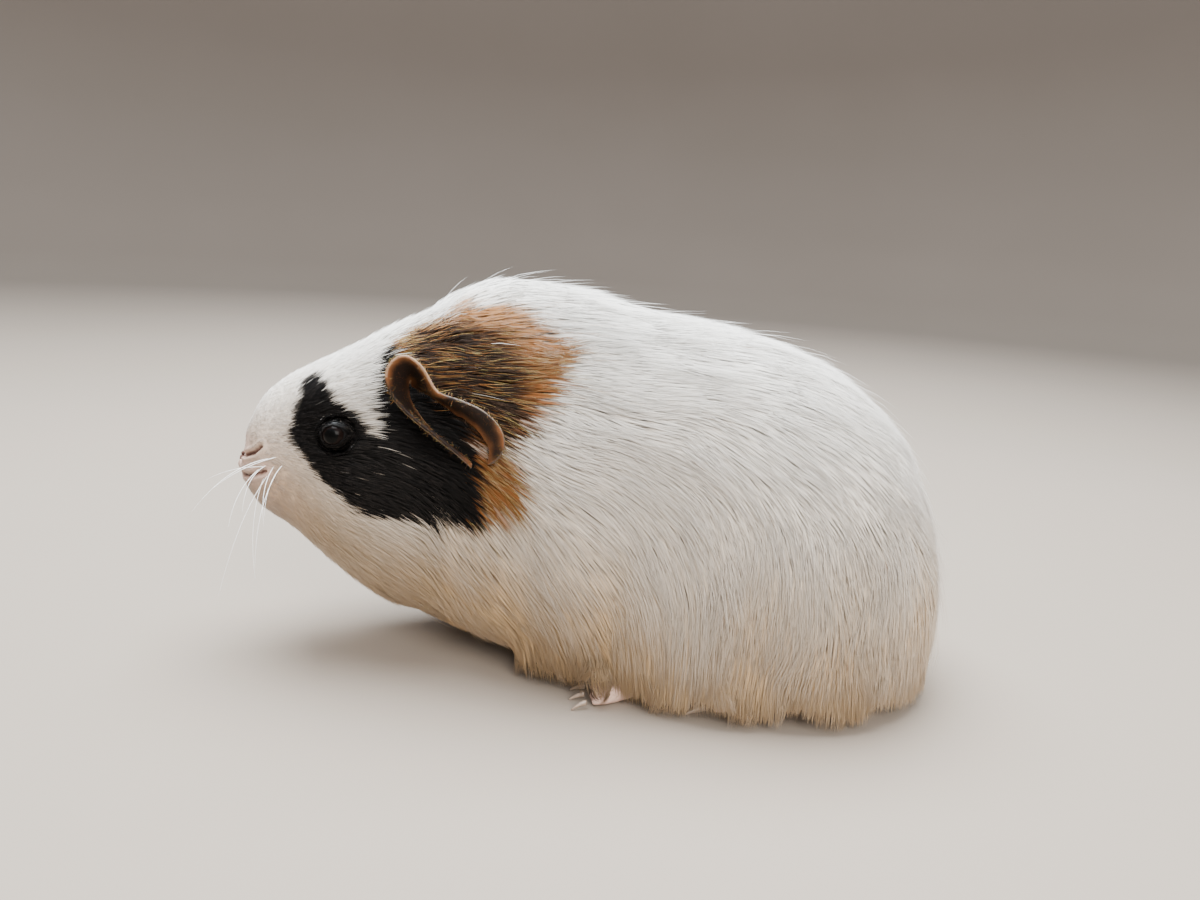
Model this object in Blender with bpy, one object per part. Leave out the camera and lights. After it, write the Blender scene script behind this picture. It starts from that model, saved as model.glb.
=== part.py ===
"""Guinea pig: a still, life-size model of a medium-coated animal, crouched with its head held low.

Run with  blender --background --python part.py
Sizes below are in millimetres and become metres in one place, metres().
The animal faces -X with its left side towards -Y, and the soles of its feet are at z = 0.
Every solid has its true outer shape, out to the tips of the coat.
"""

import bmesh
import bpy
from math import cos, exp, pi, radians, sin
from mathutils import Matrix, Vector

MM = 0.001
ROW_SHIFT_X = -1.1  # moves the model along X so that its box is centred on the origin

# ---- Driving dimensions -------------------------------------------------------------------

NOSE_X = -111.0  # front of the muzzle
TAIL_X = 112.0  # back of the rump
NECK_FRONT_X = -56.0  # cut between head and neck
NECK_BACK_X = -38.0  # cut between neck and chest
CHEST_BACK_X = 24.0  # cut between chest and belly, behind the forelegs
RUMP_FRONT_X = 56.0  # cut between belly and rump
CUT = 0.4  # width of the thin cuts between neighbours
FIT = 0.35  # clearance of a piece that sits in a pocket

# Outlines of the body in side view and in top view, each as (x, value).
BACK_LINE = (
    (-111, 71), (-103, 80), (-92, 88.5), (-78, 96.5), (-62, 106), (-45, 114.5), (-28, 118),
    (-10, 117), (14, 112), (44, 107), (66, 100), (82, 90), (94, 77), (103, 60), (109, 43), (112, 26),
)
UNDER_LINE = (
    (-111, 49), (-104, 43.5), (-95, 37), (-84, 27), (-74, 18), (-60, 9), (-36, 4), (0, 2.5),
    (30, 1.6), (60, 1.5), (96, 1.6), (107, 4), (112, 12),
)
HALF_WIDTH = (
    (-111, 10.5), (-104, 13.5), (-95, 18), (-84, 22.5), (-74, 26), (-60, 29.5), (-42, 33.5),
    (-20, 40), (8, 47), (40, 52), (66, 51), (84, 45), (97, 35), (106, 24), (112, 9),
)
WIDEST_LEVEL = (
    (-111, 59), (-95, 60), (-80, 57), (-60, 52), (-30, 43), (10, 35), (60, 28), (112, 21),
)
# How square each section is below its widest level: 2 is an ellipse.
SQUARENESS = ((-111, 2.2), (-80, 2.1), (-55, 2.2), (-25, 2.8), (8, 3.2), (34, 5.0), (88, 5.0), (112, 3.2))

# Rounded ends of the muzzle and of the rump.
MUZZLE_CAP = 9.0
RUMP_CAP = 6.0

# Local swells (and dents, below zero): name, centre (x, y, z), spread, height. A centre with
# y above zero is made on both sides.
SWELLS = (
    ("whisker pad", (-105, 9, 56), 4.9, 1.8),
    ("bridge of the nose", (-98, 0, 86), 6.8, 0.8),
    ("cheek", (-76, 25, 50), 8.2, 2.4),
    ("jaw", (-88, 14, 35), 6.8, 1.2),
    ("brow", (-80, 17, 83), 6.0, 1.8),
    ("hollow before the eye", (-93, 16, 72), 5.2, -1.6),
    ("hollow behind the chin", (-93, 0, 33), 6.0, -1.2),
    ("nape crest", (-34, 0, 117), 11.2, 1.6),
    ("hollow behind the ear", (-46, 30, 78), 6.8, -2.0),
    ("shoulder", (-14, 41, 52), 13.5, 2.6),
    ("hollow behind the shoulder", (22, 48, 56), 11.2, -1.8),
    ("haunch", (66, 50, 46), 15.0, 2.6),
)

# The head is turned a little to its left: degrees, where the turn begins and how far it takes.
HEAD_TURN = 12.0
TURN_START_X = -28.0
TURN_RUN = 42.0
TURN_PIVOT_X = -45.0

AROUND = 32  # points round each body section
RINGS = {"head": 17, "neck": 4, "chest": 8, "belly": 4, "rump": 11}
CROWD_NOSE = 1.6  # above 1, the head's sections crowd towards the nose
CROWD_TAIL = 1.15
END_RING = 0.25  # distance of the first and the last section from the poles

EYE_CENTRE = (-80.5, 19.2, 71.0)
EYE_RADIUS = 4.8
NOSE_CENTRE = (-107.9, 0.0, 62.0)
NOSE_HALF_SIZE = (3.2, 5.6, 4.2)

# The ear is a thin sheet that rises from a slim oval round the ear canal, as a funnel whose rim
# makes an upright lobe at the front, a fold and a hanging flap behind it.
EAR_MIDDLE_X = -49.0  # where the head's turn is taken for the whole ear, which keeps its shape
EAR_OVAL_CENTRE = (-49.0, 77.0)  # x, z
EAR_OVAL_HALF = (14.0, 3.4)
EAR_OVAL_TILT = -43.0  # degrees: the long way of the oval runs back and down
EAR_OVAL_START = -6.0  # degrees round the oval, from its lower end up the front
EAR_OVAL_END = -336.0
# Rim stations from the notch below the canal, up the front edge, over the lobe, across the fold
# and round the flap: (x, z), stand-off from the head, bow away from the canal, bulge outwards.
EAR_RIM = (
    ((-38.0, 65.5), 2.0, 0.0, 0.3),
    ((-46.0, 73.0), 4.5, 0.3, 0.5),
    ((-54.5, 79.5), 7.5, 0.6, 0.6),
    ((-61.0, 85.5), 9.5, 1.2, 0.8),
    ((-63.0, 93.0), 12.0, 1.8, 0.8),
    ((-58.5, 97.6), 13.0, 2.0, 0.8),
    ((-53.0, 94.0), 13.0, 1.4, 0.8),
    ((-49.0, 87.0), 12.0, 0.0, 1.6),
    ((-43.0, 85.5), 11.5, -0.4, 2.4),
    ((-36.5, 83.5), 12.5, 0.4, 2.4),
    ((-31.0, 78.8), 14.0, 1.6, 1.8),
    ((-30.5, 72.3), 11.0, 1.6, 1.4),
    ((-35.5, 66.5), 3.5, 0.4, 0.4),
)
EAR_THICKNESS = 1.2
EAR_ALONG = 26  # strips round the ear
EAR_UP = 5  # rows from base to rim
EAR_ROOT_DEPTH = 2.4  # how far the base is sunk in the head
EAR_CLEARANCE_X = (-86.0, 4.0)  # the stretch of coat that the ears are cut back from
EAR_CLEARANCE_RINGS = 20

# Legs, each as centres (x, y, z) and radii from its top down to the root of the toes.
FORELEG = (
    ((-12, 24, 33), 9.0), ((4, 28.5, 20), 7.0), ((14.5, 33.5, 9), 5.0), ((13.5, 35.5, 5.2), 4.8),
    ((10, 36.5, 4.6), 5.0),
)
HINDLEG = (
    ((78, 27, 27), 11.0), ((86, 30, 14), 7.5), ((84, 32, 6.5), 5.6), ((70, 33.5, 5.2), 5.1),
    ((56, 34.5, 4.8), 5.6), ((48, 35, 4.5), 5.8),
)
FORE_TOES = {"count": 4, "spread": 46.0, "length": 7.5, "radius": 1.75}
HIND_TOES = {"count": 3, "spread": 30.0, "length": 10.0, "radius": 2.2}
CLAW_LENGTH = {"fore": 4.6, "hind": 6.6}
CLAW_RADIUS = {"fore": 0.9, "hind": 1.2}
CLAW_TAPER = 0.72  # how much of its radius a claw loses towards the tip
CLAW_DROP = 1.5  # how far a claw's tip curves down
CLAW_RAISE = 0.6
CLAW_SIDES = 6
CLAW_RINGS = 4
TOE_DIP = 0.06  # slope of the toes towards the ground
TOE_CLEAR = 0.3  # height of a toe's underside at its root; its tip is cut flat by the ground
LIMB_SIDES = 12
TOE_SIDES = 8
ROUND_STEPS = 3  # rings in each round end of a limb
PAW_VOXEL = 1.3
THINNING = {"fore": 0.11, "hind": 0.08}  # share of a melted leg's faces that is kept
ROOM = {"shank": 1.2, "foot": 1.5}  # clearance round a leg in its pocket
ROOM_SIDES = 8
GROUND_SIZE = 0.3  # side of the block that cuts the soles flat, in metres

COLOURS = {
    "coat_white": (0.83, 0.80, 0.74),
    "skin_pink": (0.62, 0.42, 0.37),
    "ear_brown": (0.20, 0.11, 0.07),
    "eye_black": (0.010, 0.008, 0.008),
    "claw_horn": (0.72, 0.60, 0.50),
}
ROUGHNESS = {"coat_white": 0.8, "skin_pink": 0.6, "ear_brown": 0.65, "eye_black": 0.06, "claw_horn": 0.4}


# ---- Small helpers --------------------------------------------------------------------------

def clear_scene():
    for old in list(bpy.data.objects):
        bpy.data.objects.remove(old, do_unlink=True)


def material(name):
    made = bpy.data.materials.get(name)
    if made is None:
        made = bpy.data.materials.new(name)
        made.use_nodes = True
        shader = made.node_tree.nodes["Principled BSDF"]
        shader.inputs["Base Color"].default_value = (*COLOURS[name], 1.0)
        shader.inputs["Roughness"].default_value = ROUGHNESS[name]
        shader.inputs["Metallic"].default_value = 0.0
    return made


def smooth_step(t):
    t = min(max(t, 0.0), 1.0)
    return t * t * (3 - 2 * t)


def along(outline, x):
    """The height of a smooth curve through the outline's points at x, with no overshoot."""
    if x <= outline[0][0]:
        return outline[0][1]
    if x >= outline[-1][0]:
        return outline[-1][1]
    i = max(k for k in range(len(outline) - 1) if outline[k][0] <= x)

    def slope(k):
        return (outline[k + 1][1] - outline[k][1]) / (outline[k + 1][0] - outline[k][0])

    def tangent(k):
        if k in (0, len(outline) - 1):
            return slope(min(k, len(outline) - 2))
        before, after = slope(k - 1), slope(k)
        return 0.0 if before * after <= 0 else 2 * before * after / (before + after)

    (x0, y0), (x1, y1) = outline[i], outline[i + 1]
    run = x1 - x0
    t = (x - x0) / run
    return (
        y0 * (1 + 2 * t) * (1 - t) ** 2
        + run * tangent(i) * t * (1 - t) ** 2
        + y1 * t * t * (3 - 2 * t)
        + run * tangent(i + 1) * t * t * (t - 1)
    )


def head_turn_at(x):
    """The turn of the body at x of the straight animal, in radians."""
    return radians(HEAD_TURN) * smooth_step((TURN_START_X - x) / TURN_RUN)


def turned(point, angle=None):
    """A point of the straight animal, carried round by the turn of the head."""
    if angle is None:
        angle = head_turn_at(point.x)
    reach = point.x - TURN_PIVOT_X
    return Vector((
        TURN_PIVOT_X + reach * cos(angle) - point.y * sin(angle),
        reach * sin(angle) + point.y * cos(angle),
        point.z,
    ))


def metres(points):
    """Points given in millimetres, placed in the model's frame in metres."""
    return [(Vector(p) + Vector((ROW_SHIFT_X, 0, 0))) * MM for p in points]


def new_object(name, mesh_data, finish):
    bmesh.ops.recalc_face_normals(mesh_data, faces=mesh_data.faces)
    mesh = bpy.data.meshes.new(name)
    mesh_data.to_mesh(mesh)
    mesh_data.free()
    mesh.materials.append(material(finish))
    mesh.shade_smooth()
    mesh.set_sharp_from_angle(angle=radians(50))
    made = bpy.data.objects.new(name, mesh)
    bpy.context.scene.collection.objects.link(made)
    return made


def helper(made):
    """Leaves an object out of the model: it only cuts others."""
    made.hide_render = True
    made.display_type = "WIRE"
    return made


def cut(made, cutter, operation="DIFFERENCE"):
    boolean = made.modifiers.new("cut", "BOOLEAN")
    boolean.operation = operation
    boolean.solver = "EXACT"
    boolean.object = cutter


def add_rings(form, rings, start_point=None, end_point=None):
    """Adds a closed skin over rings of points in millimetres. An end is a point, or a flat cap."""
    rows = [[form.verts.new(p) for p in metres(ring)] for ring in rings]
    count = len(rows[0])
    for first, second in zip(rows, rows[1:]):
        for k in range(count):
            form.faces.new((first[k], first[(k + 1) % count], second[(k + 1) % count], second[k]))
    for row, tip in ((rows[0], start_point), (rows[-1], end_point)):
        if tip is None:
            form.faces.new(row)
            continue
        pole = form.verts.new(metres([tip])[0])
        for k in range(count):
            form.faces.new((row[k], row[(k + 1) % count], pole))


def loft(name, rings, finish, start_point=None, end_point=None):
    form = bmesh.new()
    add_rings(form, rings, start_point, end_point)
    return new_object(name, form, finish)


# ---- The body ---------------------------------------------------------------------------------

def end_cap(x):
    """How far a section is closed in, where the muzzle and the rump round off."""
    into = min((x - NOSE_X) / MUZZLE_CAP, (TAIL_X - x) / RUMP_CAP, 1.0)
    return max(1 - (1 - max(into, 0.0)) ** 2, 0.0) ** 0.5


def swell_at(point):
    """Sum of the local swells at a point of the straight body."""
    total = 0.0
    for _, (x, y, z), spread, height in SWELLS:
        for side in ((1, -1) if y else (1,)):
            gap = (point - Vector((x, side * y, z))).length_squared
            total += height * exp(-gap / (2 * spread ** 2))
    return total


def body_point(x, angle, straight=False, grow=0.0):
    """A point of the outer shape: angle 0 is the back, a quarter turn is the left flank."""
    high, low = along(BACK_LINE, x), along(UNDER_LINE, x)
    level, width = along(WIDEST_LEVEL, x), along(HALF_WIDTH, x)
    closing = end_cap(x)
    up, out = cos(angle), sin(angle)
    square = 2.0 if up >= 0 else along(SQUARENESS, x)
    reach = (abs(up) ** square + abs(out) ** square) ** (-1 / square)
    tall = (high - level) if up >= 0 else (level - low)
    point = Vector((x, -width * closing * out * reach, level + tall * closing * up * reach))
    outward = Vector((0.0, -out, up))
    point += outward * (swell_at(point) * closing + grow)
    return point if straight else turned(point)


def body_section(x, grow=0.0):
    return [body_point(x, 2 * pi * k / AROUND, grow=grow) for k in range(AROUND)]


def pole_of(x):
    return turned(Vector((x, 0.0, along(WIDEST_LEVEL, x))))


def body_part(name, front_x, back_x):
    """A length of the body between two cuts. The sections crowd towards a rounded end."""
    count = RINGS[name]
    steps = [k / (count - 1) for k in range(count)]
    nose = front_x == NOSE_X
    tail = back_x == TAIL_X
    if nose:
        steps = [s ** CROWD_NOSE for s in steps]
    if tail:
        steps = [sin(s * pi / 2) ** CROWD_TAIL for s in steps]
    xs = [front_x + (back_x - front_x) * s for s in steps]
    if nose:
        xs[0] += END_RING
    if tail:
        xs[-1] -= END_RING
    return loft(
        name,
        [body_section(x) for x in xs],
        "coat_white",
        pole_of(front_x) if nose else None,
        pole_of(back_x) if tail else None,
    )


def make_body():
    cuts = (
        ("head", NOSE_X, NECK_FRONT_X),
        ("neck", NECK_FRONT_X, NECK_BACK_X),
        ("chest", NECK_BACK_X, CHEST_BACK_X),
        ("belly", CHEST_BACK_X, RUMP_FRONT_X),
        ("rump", RUMP_FRONT_X, TAIL_X),
    )
    made = {}
    for name, front, back in cuts:
        front_x = front if front == NOSE_X else front + CUT / 2
        back_x = back if back == TAIL_X else back - CUT / 2
        made[name] = body_part(name, front_x, back_x)
    return made


# ---- Eyes and nose ------------------------------------------------------------------------------

def ball(name, centre, half_size, finish, segments=14, rings=9):
    form = bmesh.new()
    bmesh.ops.create_uvsphere(form, u_segments=segments, v_segments=rings, radius=1.0)
    middle = turned(Vector(centre))
    for vert in form.verts:
        stretched = Vector(a * b for a, b in zip(vert.co, half_size))
        vert.co = metres([middle + stretched])[0]
    return new_object(name, form, finish)


def make_eyes(head):
    for side, word in ((-1, "left"), (1, "right")):
        x, y, z = EYE_CENTRE
        centre = (x, side * y, z)
        ball(f"eye_{word}", centre, (EYE_RADIUS,) * 3, "eye_black")
        socket = ball(f"socket_{word}", centre, (EYE_RADIUS + FIT,) * 3, "eye_black")
        cut(head, helper(socket))


def make_nose(head):
    ball("nose", NOSE_CENTRE, NOSE_HALF_SIZE, "skin_pink")
    room = tuple(s + FIT for s in NOSE_HALF_SIZE)
    cut(head, helper(ball("nose_room", NOSE_CENTRE, room, "skin_pink")))


# ---- Ears ----------------------------------------------------------------------------------------

def flank_at(x, z):
    """The y of the straight body's left side at this x and height."""
    low, high = 0.0, pi
    for _ in range(30):
        middle = (low + high) / 2
        if body_point(x, middle, straight=True).z > z:
            low = middle
        else:
            high = middle
    return body_point(x, low, straight=True).y


def through(values, t):
    """A Catmull-Rom curve through evenly spaced values, which may rise and fall."""
    last = len(values) - 1
    spot = min(max(t, 0.0), 1.0) * last
    i = min(int(spot), last - 1)
    f = spot - i
    p0, p1, p2, p3 = (values[min(max(k, 0), last)] for k in (i - 1, i, i + 1, i + 2))
    return 0.5 * (
        2 * p1 + (p2 - p0) * f + (2 * p0 - 5 * p1 + 4 * p2 - p3) * f * f
        + (3 * p1 - p0 - 3 * p2 + p3) * f ** 3
    )


def ear_base(place):
    """Where the ear grows from the head: x and z on the slim oval round the ear canal."""
    angle = radians(EAR_OVAL_START + (EAR_OVAL_END - EAR_OVAL_START) * place)
    tilt = radians(EAR_OVAL_TILT)
    along_it = EAR_OVAL_HALF[0] * cos(angle)
    across_it = EAR_OVAL_HALF[1] * sin(angle)
    return (
        EAR_OVAL_CENTRE[0] + along_it * cos(tilt) - across_it * sin(tilt),
        EAR_OVAL_CENTRE[1] + along_it * sin(tilt) + across_it * cos(tilt),
    )


def ear_point(place, rise):
    """A point of the left ear's middle sheet, rise 0 at the head and 1 at the rim."""
    base_x, base_z = ear_base(place)
    rim_x = through([row[0][0] for row in EAR_RIM], place)
    rim_z = through([row[0][1] for row in EAR_RIM], place)
    stand = through([row[1] for row in EAR_RIM], place)
    bow = through([row[2] for row in EAR_RIM], place)
    bulge = through([row[3] for row in EAR_RIM], place)
    skin_y = flank_at(base_x, base_z)
    base = Vector((base_x, skin_y + EAR_ROOT_DEPTH, base_z))
    rim = Vector((rim_x, skin_y - stand, rim_z))
    spread = Vector((rim_x - base_x, 0.0, rim_z - base_z)).normalized()
    swing = sin(pi * rise)
    return base.lerp(rim, rise) + spread * bow * swing + Vector((0.0, -bulge * swing, 0.0))


def ear_clearance():
    """The coat round both ears, a little larger, which cuts them off where they meet it."""
    first, last = EAR_CLEARANCE_X
    steps = [k / (EAR_CLEARANCE_RINGS - 1) for k in range(EAR_CLEARANCE_RINGS)]
    sections = [body_section(first + (last - first) * step, FIT + CUT / 2) for step in steps]
    return helper(loft("ear_clearance", sections, "coat_white"))


def make_ear(word, side, clearance):
    form = bmesh.new()
    rows = []
    angle = head_turn_at(EAR_MIDDLE_X)
    for i in range(EAR_ALONG + 1):
        line = [ear_point(i / EAR_ALONG, j / EAR_UP) for j in range(EAR_UP + 1)]
        placed = [turned(Vector((p.x, -side * p.y, p.z)), angle) for p in line]
        rows.append([form.verts.new(p) for p in metres(placed)])
    for first, second in zip(rows, rows[1:]):
        for j in range(EAR_UP):
            form.faces.new((first[j], first[j + 1], second[j + 1], second[j]))
    ear = new_object(f"ear_{word}", form, "ear_brown")
    thick = ear.modifiers.new("thickness", "SOLIDIFY")
    thick.thickness = EAR_THICKNESS * MM
    thick.offset = 0.0
    cut(ear, clearance)


# ---- Legs, toes and claws --------------------------------------------------------------------------

def ring_round(centre, side, up, half_width, half_height, count):
    """Points of an oval round a centre, across two directions."""
    angles = [2 * pi * k / count for k in range(count)]
    return [centre + side * cos(a) * half_width + up * sin(a) * half_height for a in angles]


def limb_length(start, end, start_radius, end_radius, sides):
    """Rings and poles of a tapered limb length with round ends."""
    axis = (end - start).normalized()
    side = axis.cross(Vector((0, 0, 1)) if abs(axis.z) < 0.9 else Vector((1, 0, 0))).normalized()
    other = axis.cross(side)
    rings = []
    for k in range(1, ROUND_STEPS + 1):
        a = pi / 2 * k / ROUND_STEPS
        centre = start - axis * start_radius * cos(a)
        rings.append(ring_round(centre, side, other, start_radius * sin(a), start_radius * sin(a), sides))
    for k in range(ROUND_STEPS):
        a = pi / 2 * k / ROUND_STEPS
        centre = end + axis * end_radius * sin(a)
        rings.append(ring_round(centre, side, other, end_radius * cos(a), end_radius * cos(a), sides))
    return rings, start - axis * start_radius, end + axis * end_radius


def toe_lines(chain, toes, side):
    """Start and end of each toe, fanned forwards from the end of the foot."""
    (x, y, _), radius = chain[-1]
    lines = []
    for k in range(toes["count"]):
        place = k / (toes["count"] - 1) - 0.5
        fan = radians(toes["spread"] * place)
        way = Vector((-cos(fan), side * sin(fan), -TOE_DIP))
        across = place * 2 * (radius - toes["radius"])
        root = Vector((x, side * (y + across), toes["radius"] + TOE_CLEAR))
        lines.append((root, root + way * toes["length"]))
    return lines


def chain_lengths(chain, side, sides):
    """The lengths of a leg between the centres of its chain."""
    placed = [(Vector((x, side * y, z)), radius) for (x, y, z), radius in chain]
    return [(p0, p1, r0, r1, sides) for (p0, r0), (p1, r1) in zip(placed, placed[1:])]


def make_leg(kind, word, chain, toes, side):
    """The leg's forms melted into one, smoothed, thinned out and set flat on its sole."""
    form = bmesh.new()
    lengths = chain_lengths(chain, side, LIMB_SIDES)
    for root, tip in toe_lines(chain, toes, side):
        lengths.append((root, tip, toes["radius"], toes["radius"], TOE_SIDES))
    for length in lengths:
        add_rings(form, *limb_length(*length))
    name = f"{kind}leg_{word}"
    leg = new_object(name, form, "skin_pink")
    melt = leg.modifiers.new("melt", "REMESH")
    melt.mode = "VOXEL"
    melt.voxel_size = PAW_VOXEL * MM
    ease = leg.modifiers.new("ease", "SMOOTH")
    ease.factor = 0.5
    ease.iterations = 2
    thin = leg.modifiers.new("thin", "DECIMATE")
    thin.ratio = THINNING[kind]
    ground = bmesh.new()
    bmesh.ops.create_cube(ground, size=GROUND_SIZE, matrix=Matrix.Translation((0, 0, -GROUND_SIZE / 2)))
    cut(leg, helper(new_object(f"{name}_ground", ground, "skin_pink")))


def room_round(name, lengths, room):
    """A cutter for part of a pocket: the hull round some lengths of a leg, with room to spare."""
    form = bmesh.new()
    for start, end, start_radius, end_radius, sides in lengths:
        rings, first, last = limb_length(start, end, start_radius + room, end_radius + room, sides)
        for point in metres([first, last] + [p for ring in rings for p in ring]):
            form.verts.new(point)
    hull = bmesh.ops.convex_hull(form, input=form.verts)
    spare = set(hull["geom_interior"]) | set(hull["geom_unused"])
    bmesh.ops.delete(form, geom=list(spare), context="VERTS")
    return helper(new_object(name, form, "skin_pink"))


def leg_rooms(kind, word, chain, toes, side):
    """The pocket that the coat leaves round a leg: one cutter for its shank and one for its foot."""
    lengths = chain_lengths(chain, side, ROOM_SIDES)
    foot = lengths[2:]
    for root, tip in toe_lines(chain, toes, side):
        way = (tip - root).normalized()
        claw_end = tip + way * (toes["radius"] + FIT + CLAW_LENGTH[kind])
        foot.append((root, tip, toes["radius"], toes["radius"], ROOM_SIDES))
        foot.append((tip, claw_end, toes["radius"], CLAW_RADIUS[kind], ROOM_SIDES))
    return [
        room_round(f"{kind}leg_{word}_shank_room", lengths[:2], ROOM["shank"]),
        room_round(f"{kind}leg_{word}_foot_room", foot, ROOM["foot"]),
    ]


def make_claws(kind, word, chain, toes, side):
    """A curved, tapering horn on the end of each toe."""
    for number, (root, tip) in enumerate(toe_lines(chain, toes, side), 1):
        way = (tip - root).normalized()
        across = way.cross(Vector((0, 0, 1))).normalized()
        rise = way.cross(across)
        start = tip + way * (toes["radius"] + FIT)
        rings = []
        for k in range(CLAW_RINGS):
            t = k / (CLAW_RINGS - 1)
            centre = start + way * CLAW_LENGTH[kind] * t + Vector((0, 0, CLAW_RAISE - CLAW_DROP * t * t))
            thick = CLAW_RADIUS[kind] * (1 - CLAW_TAPER * t)
            rings.append(ring_round(centre, across, rise, thick, thick * 1.2, CLAW_SIDES))
        loft(f"claw_{kind}_{word}_{number}", rings, "claw_horn")


def make_limbs(body):
    limbs = (
        ("fore", FORELEG, FORE_TOES, ("chest",)),
        ("hind", HINDLEG, HIND_TOES, ("belly", "rump")),
    )
    for side, word in ((-1, "left"), (1, "right")):
        for kind, chain, toes, carriers in limbs:
            make_leg(kind, word, chain, toes, side)
            make_claws(kind, word, chain, toes, side)
            for room in leg_rooms(kind, word, chain, toes, side):
                for carrier in carriers:
                    cut(body[carrier], room)


def main():
    clear_scene()
    body = make_body()
    make_eyes(body["head"])
    make_nose(body["head"])
    clearance = ear_clearance()
    for side, word in ((-1, "left"), (1, "right")):
        make_ear(word, side, clearance)
    make_limbs(body)


main()
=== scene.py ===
# %% [markdown]
# # A guinea pig as a museum would show it
#
# The animal is a still, life-size model: one skin under a long, silky coat, with two eyes, claws
# and whiskers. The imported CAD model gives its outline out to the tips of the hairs. Here the flesh
# of that model is replaced by a skin that lies deeper, by as much as the coat is thick, and the
# coat fills the room between the two with thousands of thin, solid tufts.

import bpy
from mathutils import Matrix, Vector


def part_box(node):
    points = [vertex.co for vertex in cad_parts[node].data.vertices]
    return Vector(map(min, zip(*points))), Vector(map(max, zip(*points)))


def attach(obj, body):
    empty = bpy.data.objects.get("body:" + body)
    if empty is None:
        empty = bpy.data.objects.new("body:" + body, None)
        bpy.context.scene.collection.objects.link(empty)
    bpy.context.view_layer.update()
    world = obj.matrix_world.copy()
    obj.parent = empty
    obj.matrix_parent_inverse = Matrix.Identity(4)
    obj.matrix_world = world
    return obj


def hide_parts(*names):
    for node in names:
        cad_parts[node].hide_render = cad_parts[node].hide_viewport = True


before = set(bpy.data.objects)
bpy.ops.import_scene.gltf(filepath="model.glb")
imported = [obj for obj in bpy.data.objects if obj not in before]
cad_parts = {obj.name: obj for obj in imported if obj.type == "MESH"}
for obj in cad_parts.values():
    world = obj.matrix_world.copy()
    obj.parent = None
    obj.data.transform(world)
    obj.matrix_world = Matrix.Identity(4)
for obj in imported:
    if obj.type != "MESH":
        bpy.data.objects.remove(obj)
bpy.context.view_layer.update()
print("nodes of the CAD model:", len(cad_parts))

# %% [markdown]
# ## Tools, units and names
#
# Blender counts in metres, but hairs and lids are easier to think of in millimetres, and MM turns
# one into the other. The nodes of the CAD model are sorted here by the part of the body that they
# make, so that later cells can ask for the legs or the claws as a whole.

# %% Modules, and the nodes by name
from math import cos, pi, radians, sin

import bmesh
import bpy
import numpy as np
from mathutils import Matrix, Vector
from mathutils.bvhtree import BVHTree

MM = 0.001
SIDES = {"left": -1, "right": 1}  # the animal faces -X, so its left side is towards -Y
MIRROR = (1, -1, 1)
BODY_NODES = ["head", "neck", "chest", "belly", "rump"]
LEG_NODES = [f"{pair}leg_{side}" for pair in ("fore", "hind") for side in SIDES]
EAR_NODES = [f"ear_{side}" for side in SIDES]
CLAW_NODES = sorted(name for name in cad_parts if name.startswith("claw"))


def in_mm(box):
    """The corners of a box in millimetres, to print them."""
    return [[round(float(value) / MM, 1) for value in corner] for corner in box]


# %% [markdown]
# ## Working on a straight animal
#
# The head is turned a little to its left, and the body bends with it. It is far easier to think
# about a straight animal, where left and right are mirror images. So every shape below is worked
# out straight, in millimetres, and two functions carry points there and back.

# %% The turn of the head, and its inverse
HEAD_TURN = radians(12.0)
TURN_START_X = -28.0  # the body begins to bend here,
TURN_RUN = 42.0  # and over this length it reaches the full turn
TURN_PIVOT_X = -45.0
ROW_SHIFT_X = -1.1  # from the straight animal's middle to the model's
UNTURN_ROUNDS = 25


def smooth_step(t):
    t = np.clip(t, 0.0, 1.0)
    return t * t * (3 - 2 * t)


def turn_at(x):
    return HEAD_TURN * smooth_step((TURN_START_X - x) / TURN_RUN)


def turned(points):
    """Points of the straight animal, in millimetres, placed in the model's frame in metres."""
    x, y, z = np.asarray(points, float).T
    angle = turn_at(x)
    reach = x - TURN_PIVOT_X
    placed = (
        TURN_PIVOT_X + reach * np.cos(angle) - y * np.sin(angle) + ROW_SHIFT_X,
        reach * np.sin(angle) + y * np.cos(angle),
        z,
    )
    return np.stack(placed, axis=1) * MM


def straightened(points):
    """The inverse: points of the model in metres, as millimetres of the straight animal."""
    x, y, z = (np.asarray(points, float) / MM).T
    x = x - ROW_SHIFT_X
    straight_x, straight_y = x.copy(), y.copy()
    for _ in range(UNTURN_ROUNDS):
        angle = turn_at(straight_x)
        reach = x - TURN_PIVOT_X
        straight_x = TURN_PIVOT_X + reach * np.cos(angle) + y * np.sin(angle)
        straight_y = -reach * np.sin(angle) + y * np.cos(angle)
    return np.stack((straight_x, straight_y, z), axis=1)


nose_there = turned([(-111.0, 0.0, 60.0)])
print("the nose lies at", in_mm(nose_there), "and back at", straightened(nose_there).round(3))

# %% [markdown]
# ## Arrays and meshes
#
# NumPy holds points and faces as arrays, which is quick for tens of thousands of hairs. Blender
# copies a whole array into a mesh, or out of it, with foreach_set and foreach_get.

# %% Between arrays, meshes and objects
def vectors_of(items, field):
    values = np.empty(len(items) * 3)
    items.foreach_get(field, values)
    return values.reshape(-1, 3)


def arrays_of(mesh):
    return vectors_of(mesh.vertices, "co")


def normals_of(mesh):
    return vectors_of(mesh.vertices, "normal")


def edges_of(mesh):
    edges = np.empty(len(mesh.edges) * 2, np.int64)
    mesh.edges.foreach_get("vertices", edges)
    return edges.reshape(-1, 2)


def set_points(mesh, points):
    mesh.vertices.foreach_set("co", np.asarray(points, np.float32).ravel())
    mesh.update()


def show(name, mesh, smooth=True):
    made = bpy.data.objects.new(name, mesh)
    bpy.context.scene.collection.objects.link(made)
    if smooth:
        mesh.shade_smooth()
    return made


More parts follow.
